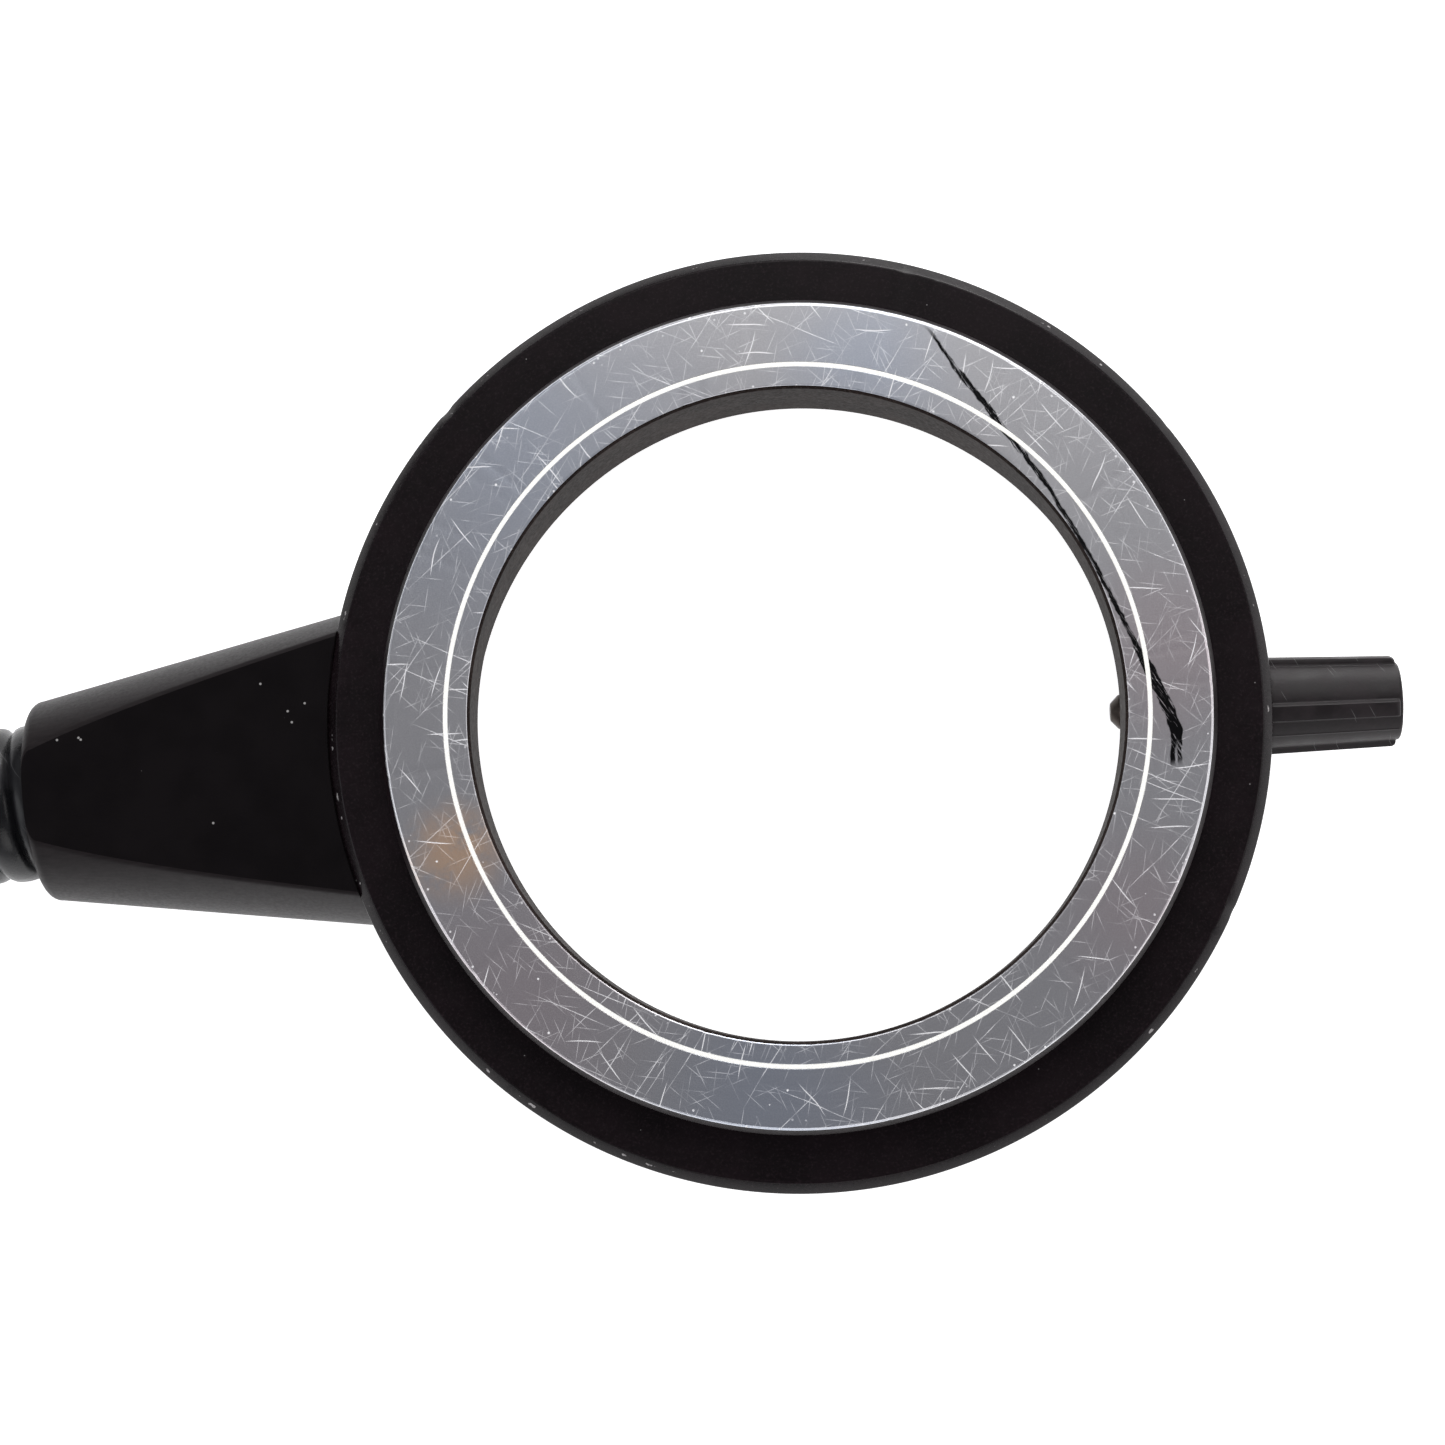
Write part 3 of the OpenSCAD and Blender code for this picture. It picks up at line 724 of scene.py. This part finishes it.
def glossy_vinyl():
    """Conduit's black vinyl skin: glossy, with specks of dust and faint rub marks."""
    s = Surface("conduit_vinyl", Specular_IOR_Level=0.30)
    cloud = s.noise(s.place, 0.25, 3.0, 0.6)
    skin = s.noise(s.place, 3.5, 2.0, 0.5)
    shade = s.mix(s.fade(cloud, 0.35, 0.7), (0.004, 0.004, 0.005), (0.010, 0.010, 0.012))
    rub = s.times(s.scratches(s.place, 55, 3.0, 0.10, 9.0, 3.0), 0.12)
    spots = s.times(s.specks(s.place, 4.0, 0.09), 0.35)
    s.use("Base Color", s.mix(s.any_of(spots, rub), shade, (0.35, 0.35, 0.36)))
    s.use("Roughness", s.fade(cloud, 0.3, 0.75, 0.24, 0.38))
    s.bump(skin, 0.03, 0.5)
    return s.material


def woven_strap():
    """Plain-woven nylon tape."""
    s = Surface("strap_fabric", Roughness=0.85, Sheen_Weight=0.35, Sheen_Roughness=0.4)
    x, y, z = s.parts(s.place)[:3]
    across = s.math("SINE", s.times(y, 2 * math.pi / 0.9))
    along = s.math("SINE", s.times(s.plus(x, z), 2 * math.pi / 0.9))
    weave = s.times(across, along)
    fuzz = s.noise(s.place, 5.0, 3.0, 0.7)
    shade = s.mix(s.fade(weave, -0.8, 0.8), (0.010, 0.012, 0.017), (0.045, 0.050, 0.065))
    s.use("Base Color", s.mix(s.fade(fuzz, 0.55, 0.8, 0.0, 0.5), shade, (0.10, 0.11, 0.13)))
    s.bump(s.plus(weave, fuzz), 0.12, 0.8)
    return s.material


def pale_floor():
    """Matte white light table."""
    s = Surface("pale_floor", Roughness=0.9)
    cloud = s.noise(s.place, 0.01, 2.0, 0.5)
    s.use("Base Color", s.mix(cloud, (0.90, 0.90, 0.90), (0.93, 0.93, 0.93)))
    s.use("Emission Color", (1.0, 1.0, 1.0))
    s.use("Emission Strength", 0.9)
    return s.material


# ---------------------------------------------------------------- conduit, strap and plug

def coil_line():
    """Centre line of the coil, every COIL_STEP degrees, as points in millimetres."""
    count = round((COIL_FROM - COIL_TO) / COIL_STEP)
    line = []
    for i in range(count + 1):
        angle = COIL_FROM - i * COIL_STEP
        t = min(max((CLIMB_FROM - angle) / (CLIMB_FROM - CLIMB_TO), 0), 1)
        height = LEVELS[0] + (LEVELS[1] - LEVELS[0]) * t * t * (3 - 2 * t)
        height += sum(STRAP_LIFT * math.exp(-((angle - at) / STRAP_REACH) ** 2) for at in STRAP_AT)
        turn = math.radians(angle)
        line.append((COIL_AT[0] + COIL_R * math.cos(turn), COIL_AT[1] + COIL_R * math.sin(turn), height))
    return line


def conduit(material):
    """The whole conduit as one helically corrugated hose, from the arm to the plug."""
    route = LEAD[:-1] + coil_line() + TAIL[1:]

    def crest(turns):
        across = np.abs(2 * (turns % 1) - 1)
        return ROOT_R + (HOSE_R - ROOT_R) * (1 - across ** 2.8) ** 0.8

    points, faces = helical_tube(spline(route), CONDUIT_PITCH, 8, 28, crest)
    hose = make_piece("conduit", points, faces, [material], sharp=60)
    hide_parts("conduit_lead", "conduit_coil", "conduit_tail")
    return hose, [tuple(value * MM for value in point) for point in route]


def strap(material):
    """Hook-and-loop band that hugs both turns, with its free end lapped over the outside."""
    inner, tape = CREST_R + 0.15, 0.8
    low, high = LEVELS[0] + STRAP_LIFT, LEVELS[1] + STRAP_LIFT
    at_x, at_y = COIL_AT[0] - COIL_R, COIL_AT[1]
    rim, side, overlap = 0.25, STRAP_W / 2, 6
    halves = ((low, 180), (high, 0))
    path = [(math.radians(start + 7.5 * k), centre) for centre, start in halves for k in range(25)]

    def band(name, radius, thickness, path, closed):
        section = [(0, -side, rim), (thickness, -side, rim), (thickness, side, rim), (0, side, rim)]
        section = rounded(section, 3)
        points = []
        for angle, centre in path:
            for out, along in section:
                x, z = (radius + out) * math.cos(angle), (radius + out) * math.sin(angle)
                points.append((at_x + x, at_y + along, centre + z))
        faces = band_faces(len(path), len(section), closed)
        return make_piece(name, points, faces, [material])

    loop = band("coil_strap_loop", inner, tape, path, True)
    tab = band("coil_strap_end", inner + tape - 0.02, 0.45, path[-8:] + path[:overlap], False)
    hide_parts("coil_strap")
    return [loop, tab]


def plug_boot(material):
    """Tapered rubber boot with moulded relief rings."""
    bore, small, large = PLUG_BORE_R, 0.5, 1.9
    length = HANDLE_X - BOOT_X
    outline = [(bore, 0, 0), (bore + small, 0, 0.3)]
    rings, first, spacing, depth = 5, 2.5, 3.6, 0.42
    for i in range(rings):
        start = first + i * spacing
        for z, drop in ((start, 0), (start + 0.3, depth), (start + 1.3, depth), (start + 1.6, 0)):
            radius = bore + small + (large - small) * z / length - drop
            outline.append((radius, z, 0.2))
    outline += [(bore + large, length - 0.5, 0.4), (bore + large, length, 0.2), (bore, length, 0)]
    points, faces = lathe(rounded(outline, 3), 96)
    boot = make_piece("boot", along_plug(points, BOOT_X), faces, [material])
    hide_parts("source_boot")
    return boot


def plug_handle(material):
    """Turned handle: chamfered ends, three finger grooves and a band of fine straight knurling."""
    bore, inner, spigot = PLUG_BORE_R, 4.6, 6.52
    socket, step = FERRULE_X - HANDLE_X, 6.0
    groove = 0.5
    knurl_start, knurl_end, teeth = 17.4, 23.6, 80
    outline = [(bore, 0, 0.1), (HANDLE_R - 0.8, 0, 0.25), (HANDLE_R, 0.8, 0.25)]
    for start in (9, 12, 15):
        for z, drop in ((start, 0), (start + 0.2, groove), (start + 1.0, groove), (start + 1.2, 0)):
            outline.append((HANDLE_R - drop, z, 0.08))
    outline += [
        (HANDLE_R, knurl_start - 0.15, 0), (HANDLE_R, knurl_start + 0.1, 0),
        (HANDLE_R, knurl_end - 0.1, 0), (HANDLE_R, knurl_end + 0.15, 0),
        (HANDLE_R, HANDLE_L - 1.2, 0.25), (HANDLE_R - 1.2, HANDLE_L, 0.25), (spigot, HANDLE_L, 0.1),
        (spigot, socket, 0), (inner, socket, 0), (inner, step, 0), (bore, step, 0),
    ]
    points, faces = lathe(rounded(outline, 3), 3 * teeth)
    turn = np.arctan2(points[:, 1], points[:, 0])
    banded = (points[:, 2] > knurl_start) & (points[:, 2] < knurl_end)
    outside = np.hypot(points[:, 0], points[:, 1]) > bore + 2
    cut = np.where(banded & outside, 1 - 0.02 * (0.5 + 0.5 * np.cos(turn * teeth)), 1)
    points[:, :2] *= cut[:, None]
    handle = make_piece("handle", along_plug(points, HANDLE_X), faces, [material])
    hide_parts("source_handle")
    return handle


def plug_ferrule(material):
    """Ferrule: a narrower end held in the handle, and a ground pin with a chamfered nose."""
    spigot, inner = 6.5, 4.5
    shoulder = PIN_X - FERRULE_X
    length = PIN_END - FERRULE_X
    outline = [
        (inner, 0, 0), (spigot, 0, 0.1), (spigot, shoulder, 0), (PIN_R, shoulder, 0.05),
        (PIN_R, length - 0.7, 0.2), (PIN_R - 0.7, length, 0.1), (inner, length, 0.15),
    ]
    points, faces = lathe(rounded(outline, 3), 160)
    ferrule = make_piece("ferrule", along_plug(points, FERRULE_X), faces, [material])
    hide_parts("source_ferrule")
    return ferrule


# ---------------------------------------------------------------- ring

def punch(piece, points, faces):
    """Cuts a solid given in millimetres out of a piece."""
    cutter = closed_object("cutter", points, faces)
    cut = piece.modifiers.new("cut", "BOOLEAN")
    cut.object = cutter
    cut.operation = "DIFFERENCE"
    cut.solver = "EXACT"
    bpy.context.view_layer.objects.active = piece
    with bpy.context.temp_override(object=piece, active_object=piece, selected_objects=[piece]):
        bpy.ops.object.modifier_apply(modifier="cut")
    bpy.data.objects.remove(cutter)
    piece.data.set_sharp_from_angle(angle=math.radians(SHARP))


def steady_normals(piece):
    """Keeps broad flat faces flat in shading next to their small rounded edges."""
    weighted = piece.modifiers.new("steady_normals", "WEIGHTED_NORMAL")
    weighted.keep_sharp = True
    weighted.weight = 80


def screw_hole(radius, start, end):
    """A round cutter along the clamp screw."""
    points, faces = lathe([(0, 0), (radius, 0), (radius, end - start), (0, end - start)], 64)
    return along_screw(points, start), faces


def housing(black, bare, edge):
    """Outer body with its raised head: a bare face, the rest anodised, and chipped edges."""
    rear, wall, seat = 0.5, 2.6, 1.4
    chamber_r, chamber_z = BODY_R - wall, SHOULDER_Z - wall
    outline = [
        (COVER_R, 0, 0.05), (BODY_R - rear, 0, 0.15), (BODY_R, rear, 0.15),
        (BODY_R, SHOULDER_Z - BODY_CHAMFER, 0.14),
        (BODY_R - BODY_CHAMFER, SHOULDER_Z, 0.14),
        (HEAD_R, SHOULDER_Z, 0.12),
        (HEAD_R, FACE_Z - HEAD_BEVEL, 0.15),
        (FACE_R, FACE_Z, 0.24),
        (SLIT_OUT, FACE_Z, 0.03),
        (SLIT_OUT, FACE_Z - seat, 0),
        (38, chamber_z + 0.4, 0), (chamber_r, chamber_z, 0), (chamber_r, COVER_T, 0), (COVER_R, COVER_T, 0),
    ]
    points, faces = lathe(rounded(outline), 720)
    dice = random.Random(11)
    top_edge, low_edge = BODY_R - BODY_CHAMFER, SHOULDER_Z - BODY_CHAMFER
    # bearing and size of the chips that the photograph shows, and a few more anywhere
    marks = [(70.6, 0.9), (133.0, 0.8), (-30.0, 0.6), (-28.5, 0.4), (-33.0, 0.5)]
    marks += [(dice.uniform(0, 360), dice.uniform(0.25, 0.4)) for _ in range(7)]
    for bearing, size in marks:
        turn = math.radians(bearing)
        edge_r, edge_z = dice.choice([(top_edge, SHOULDER_Z), (BODY_R, low_edge)])
        at = (edge_r * math.cos(turn), edge_r * math.sin(turn), edge_z)
        chip(points, at, (size,) * 3, 0.14 * size, (-math.cos(turn), -math.sin(turn), -0.8))
    for _ in range(34):
        turn, size = dice.uniform(0, 2 * math.pi), dice.uniform(0.2, 0.5)
        at = (FACE_R * math.cos(turn), FACE_R * math.sin(turn), FACE_Z)
        chip(points, at, (size,) * 3, 0.12 * size, (-math.cos(turn), -math.sin(turn), -0.8))

    def paint(centre, normal):
        reach = math.hypot(centre.x, centre.y)
        if reach > top_edge - 0.04 and low_edge - 0.2 < centre.z:
            return 2
        return int(centre.z > FACE_Z - 0.23 and SLIT_OUT - 0.1 < reach < FACE_R + 0.12)

    piece = make_piece("housing", points, faces, [black, bare, edge], paint=paint)
    punch(piece, *screw_hole(SCREW_HOLE_R, chamber_r - 2, BODY_R + 2))
    steady_normals(piece)
    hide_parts("ring_housing")


def sleeve(black, bare):
    """Inner sleeve: bore with its two lands and relief groove, the lip, and the inner half of the face."""
    low, high, relief_r = RELIEF
    outline = [
        (BORE_R, 0, 0.1), (SLEEVE_R, 0, 0.05), (SLEEVE_R, FACE_Z - 4.5, 0),
        (SLIT_IN, FACE_Z - 2, 0), (SLIT_IN, FACE_Z, 0.03),
        (THROAT_R + 0.3, FACE_Z, 0.08), (THROAT_R, FACE_Z - 0.4, 0.08),
        (THROAT_R, LIP_Z, 0.12), (BORE_R, LIP_Z, 0.05), (BORE_R, high, 0.05),
        (relief_r, high, 0.05), (relief_r, low, 0.05), (BORE_R, low, 0.05),
    ]
    points, faces = lathe(rounded(outline), 600)
    dice = random.Random(5)
    edge_r = THROAT_R + 0.3
    for _ in range(22):
        turn, size = dice.uniform(0, 2 * math.pi), dice.uniform(0.15, 0.4)
        at = (edge_r * math.cos(turn), edge_r * math.sin(turn), FACE_Z)
        chip(points, at, (size,) * 3, 0.12 * size, (math.cos(turn), math.sin(turn), -0.8))

    def paint(centre, normal):
        reach = math.hypot(centre.x, centre.y)
        return int(centre.z > FACE_Z - 0.12 and edge_r - 0.06 < reach < SLIT_IN + 0.1)

    piece = make_piece("sleeve", points, faces, [black, bare], paint=paint)
    punch(piece, *screw_hole(SCREW_HOLE_R, BORE_R - 3, SLEEVE_R + 2))
    steady_normals(piece)
    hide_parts("inner_sleeve")


def slit(material):
    """Fibre ends in the slit, standing a hair below the face and slightly uneven."""
    inner, outer = SLIT_IN + 0.01, SLIT_OUT - 0.01
    top, root = FACE_Z - 0.02, FACE_Z - 2
    middle = (inner + outer) / 2
    outline = [(inner, root), (outer, root), (outer, top - 0.02), (middle, top), (inner, top - 0.02)]
    points, faces = lathe(outline, 720)
    dice = random.Random(3)
    waves = [(dice.randint(20, 120), dice.uniform(0, 2 * math.pi)) for _ in range(6)]
    turn = np.arctan2(points[:, 1], points[:, 0])
    ripple = sum(np.cos(count * turn + phase) for count, phase in waves) / len(waves)
    upper = points[:, 2] > FACE_Z - 0.1
    points[upper, 2] += 0.008 * ripple[upper]
    piece = make_piece("slit_fibres", points, faces, [material])
    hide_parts("fibre_slit")


# ---------------------------------------------------------------- arm

def arm(cone_black, flat_black):
    """Cone with two milled flats, saddled on the ring, with softened edges and a counterbored end."""
    half, arc, flat, soft = ARM_HALF_T, 22, 10, 5
    ring_r, centre_z = BODY_R + 0.02, ARM_HALF_T + corner("side_arm", 0)[2]
    recess_r, recess_x = CREST_R + 0.2, ARM_END - 1
    end, steps, bends = ARM_END - ARM_ROUND, 60, 8

    def cone(distance):
        """The cone's radius at a distance from the viewing axis."""
        return ARM_ROOT_R - (distance - BODY_R) * ARM_SLOPE

    def section(radius):
        """Right half of the section, from the middle of the lower flat to the middle of the upper one."""
        edge = math.asin(min(1, half / radius))
        width = radius * math.cos(edge)
        reach = min(0.28, 0.5 * width, 0.3 * radius * edge)
        tangent = np.array((math.sin(edge), -math.cos(edge)))
        tip = np.array((width, radius * math.sin(edge)))
        inner = edge - reach / radius
        side = [(radius * math.cos(a), radius * math.sin(a)) for a in np.linspace(0, inner, arc)]
        bend = [tuple(tip + (1 - t) ** 2 * reach * tangent + t ** 2 * reach * np.array((-1, 0)))
                for t in np.linspace(0, 1, soft + 1)[1:]]
        top = [(x, tip[1]) for x in np.linspace(bend[-1][0], 0, flat)[1:]]
        upper = side + bend + top
        lower = [(x, -z) for x, z in reversed(upper[1:])]
        return lower + upper

    def outline(radius):
        right = section(radius)
        left = [(-y, z) for y, z in reversed(right[1:-1])]
        return np.array(right + left)

    def skin(distances):
        """An outline whose points each have a distance of their own."""
        return np.array([outline(cone(distance))[i] for i, distance in enumerate(distances)])

    def saddle(ring):
        """Distances at which an outline's points reach the ring's wall."""
        return np.sqrt(ring_r ** 2 - ring[:, 0] ** 2)

    def row(distances, side, up):
        return np.column_stack([np.full(len(side), -distances), side, up + centre_z])

    # the root, where cone and wall meet, is found in a few rounds
    root = saddle(outline(cone(BODY_R - 4)))
    for _ in range(4):
        ring = skin(root)
        root = saddle(ring)
    rows = [row(root, *ring.T)]
    for k in range(1, steps + 1):
        place = root + k / steps * (end - root)
        rows.append(row(place, *skin(place).T))
    for k in range(1, bends + 1):
        bend = math.radians(90 * k / bends)
        ring = outline(cone(end) - ARM_ROUND * (1 - math.cos(bend)))
        rows.append(row(ARM_END - ARM_ROUND * (1 - math.sin(bend)), *ring.T))
    turn = np.arctan2(ring[:, 1], ring[:, 0])
    mouth = [(recess_r + 0.12, ARM_END), (recess_r, ARM_END - 0.12), (recess_r, recess_x), (5.5, recess_x)]
    for radius, x in mouth:
        rows.append(row(x, radius * np.cos(turn), radius * np.sin(turn)))
    faces = band_faces(len(rows), len(turn))

    def paint(centre, normal):
        return int(abs(normal.z) > 0.999)

    blacks = [cone_black, flat_black]
    piece = make_piece("arm", np.vstack(rows), faces, blacks, paint=paint, sharp=40)
    steady_normals(piece)
    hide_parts("side_arm")


# ---------------------------------------------------------------- clamp screw

def knob(material):
    """Moulded knob: four ribs with soft roots that stop short of the domed end, and a parting line."""
    bore, rib_end = THREAD_R + 0.02, KNOB_L - 0.7
    round_r, edge_r = 0.5, 0.35
    quarter = [math.radians(15 * k) for k in range(1, 7)]

    def core(z):
        return KNOB_R - KNOB_TAPER * min(1, z / (KNOB_L - 0.65))

    # rows of (radius, height, share of the ribs' height)
    rows = [(bore, 0.4, 0), (bore, 0, 0)]
    rows += [(KNOB_R - 0.3, 0, 0.6), (KNOB_R - 0.08, 0.05, 0.9), (KNOB_R, 0.2, 1)]
    rows += [(core(z), z, 1) for z in np.linspace(0.8, rib_end - round_r, 16)]
    for bend in quarter:
        z = rib_end - round_r + round_r * math.sin(bend)
        rows.append((core(z), z, 0.42 + 0.58 * math.cos(bend)))
    rows.append((core(rib_end), rib_end + 0.01, 0))
    edge = core(KNOB_L)
    for bend in quarter:
        rows.append((edge - edge_r * (1 - math.cos(bend)), rib_end + 0.05 + 0.3 * math.sin(bend), 0))
    flat_r, flat_z = edge - edge_r, rib_end + 0.35
    for share in np.linspace(0.9, 0, 10):
        rows.append((flat_r * share, flat_z + (KNOB_L - flat_z) * (1 - share ** 2), 0))
    columns = 288
    turn = np.arange(columns) * 2 * np.pi / columns
    ribs = np.zeros(columns)
    for i in range(RIBS):
        bearing = RIB_PHASE + i * 2 * math.pi / RIBS
        apart = np.abs((turn - bearing + np.pi) % (2 * np.pi) - np.pi) * KNOB_R
        t = np.clip((RIB_W / 2 + 0.12 - apart) / 0.34, 0, 1)
        ribs = np.maximum(ribs, t * t * (3 - 2 * t))
    seam_at = math.radians(50)
    seam = sum(np.exp(-(((turn - seam_at - side + np.pi) % (2 * np.pi) - np.pi) * KNOB_R / 0.07) ** 2)
               for side in (0, math.pi))
    points = []
    for radius, z, share in rows:
        reach = radius + RIB_H * share * ribs + (0.05 * seam if share else 0)
        points.append(np.column_stack([reach * np.cos(turn), reach * np.sin(turn), np.full(columns, z)]))
    points = along_screw(np.vstack(points), KNOB_START)
    faces = band_faces(len(rows), columns)
    piece = make_piece("knob", points, faces, [material], "screw", sharp=45)
    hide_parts("clamp_knob")


def thread(material):
    """M4 thread of the clamp screw, as a real helix."""
    depth, crest, flank_share = 0.40, 0.12, 0.72

    def flank(turns):
        across = np.abs(2 * (turns % 1) - 1)
        return THREAD_R - depth * np.clip((across - crest) / flank_share, 0, 1)

    line = [(0, 0, z) for z in np.linspace(0, STUD[1] - STUD[0], 40)]
    straight = along_screw(line, STUD[0])
    points, faces = helical_tube(straight, THREAD_PITCH, 8, 40, flank)
    piece = make_piece("screw_thread", points, faces, [material], "screw", sharp=25)
    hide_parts("clamp_screw")


def swivel_tip(material):
    """Tip that bears on the objective: blunt cone, collar with a groove, and its pivot."""
    outline = [
        (0, 0, 0), (0.83, 0, 0.12), (1.7, 0.83, 0.15), (1.7, 1.9, 0.05),
        (1.52, 2.0, 0.05), (1.52, 2.3, 0.05), (1.7, 2.4, 0.05), (1.7, 2.8, 0.12),
        (1.0, 2.8, 0.05), (1.0, 4.3, 0.2), (0, 4.3, 0),
    ]
    points, faces = lathe(rounded(outline, 3), 96)
    points = along_screw(points, TIP_REACH)
    piece = make_piece("swivel_tip", points, faces, [material], "screw_tip")
    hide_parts("clamp_tip")


# ---------------------------------------------------------------- the scene

bpy.context.scene.view_settings.view_transform = "Standard"
add_camera()

hose, hose_path = conduit(glossy_vinyl())
strap_pieces = strap(woven_strap())
boot_piece = plug_boot(moulded("boot_rubber", (0.010, 0.010, 0.010), 0.6, 4.0, 0.02))
handle_piece = plug_handle(anodised("handle_aluminium", (0.014, 0.014, 0.016), 0.34))
polished = machined("ferrule_steel", (0.44, 0.44, 0.45), 0.30, (4, 0.3, 0.3), (0.34, 0.34, 0.35))
ferrule_piece = plug_ferrule(polished)
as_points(hose_path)

bare_face = lapped_aluminium()
chamfer_edge = (BODY_R - BODY_CHAMFER / 2, SHOULDER_Z - BODY_CHAMFER / 2, 1.3)
head_edge = (FACE_R, FACE_Z, 0.5)
throat_edge = (THROAT_R, FACE_Z, 0.5)
body_black = anodised("anodised_black", (0.0036, 0.0016, 0.0024), 0.36, edges=[head_edge], specular=0.15)
chamfer_black = anodised(
    "anodised_chamfer", (0.0036, 0.0020, 0.0026), 0.22, False, edges=[chamfer_edge], specular=0.17,
)
bore_black = anodised("anodised_bore", (0.014, 0.010, 0.009), 0.55, edges=[throat_edge], specular=0.05)
housing(body_black, bare_face, chamfer_black)
sleeve(bore_black, bare_face)
# the slit's fibre ends carry a painted glow
slit(polished_fibre_ends("fibre_ends", 0.08, 0.35))
arm(milled_black(), milled_flat())
knob(moulded("knob_plastic", (0.0100, 0.0072, 0.0082), 0.46, 3.0, 0.03, specular=0.26))
thread(machined("screw_steel", (0.35, 0.34, 0.33), 0.35, (3, 3, 3)))
swivel_tip(machined("tip_bronze", (0.055, 0.045, 0.040), 0.38, (5, 0.5, 0.5)))

# the CAD nodes that are shown as they are
strands = loose_fibres()
brass = machined("brass", (0.62, 0.46, 0.20), 0.28, (4, 0.4, 0.4), (0.30, 0.18, 0.08))
black_steel = machined("black_steel", (0.07, 0.07, 0.08), 0.38, (2, 2, 2), (0.12, 0.06, 0.03))
node_looks = {
    "rear_cover": anodised("anodised_cover", (0.012, 0.011, 0.012), 0.42),
    "rear_cover_screws": machined("zinc_screws", (0.48, 0.48, 0.50), 0.32, (3, 3, 3)),
    "fibre_fan": strands,
    "fibre_bundle": strands,
    "potting_resin": cast_resin(),
    "arm_ferrule": brass,
    "clamp_bush": brass,
    "arm_grub_screws": black_steel,
    "source_grub_screw": black_steel,
    "bundle_sleeve": moulded("shrink_sleeve", (0.03, 0.035, 0.04), 0.5, 1.5, 0.05),
    "source_fibres": polished_fibre_ends("source_fibre_ends", 0.12, 0),
}
for name, material in node_looks.items():
    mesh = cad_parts[name].data
    mesh.materials.clear()
    mesh.materials.append(material)

add_world()
add_floor(pale_floor())
add_softbox("key", 80, 52, 0.9, 0.55, 3.1, (1.0, 0.99, 0.98))
add_softbox("back", 70, 8, 0.8, 0.35, 3.0, (1.0, 0.99, 0.98))
add_softbox("left", 190, 35, 0.9, 0.5, 1.2, (0.96, 0.98, 1.0))
add_softbox("right", -5, 35, 0.9, 0.5, 1.2, (1.0, 0.97, 0.96))
add_softbox("front", -90, 35, 0.9, 0.5, 1.2, (1.0, 0.98, 0.97))
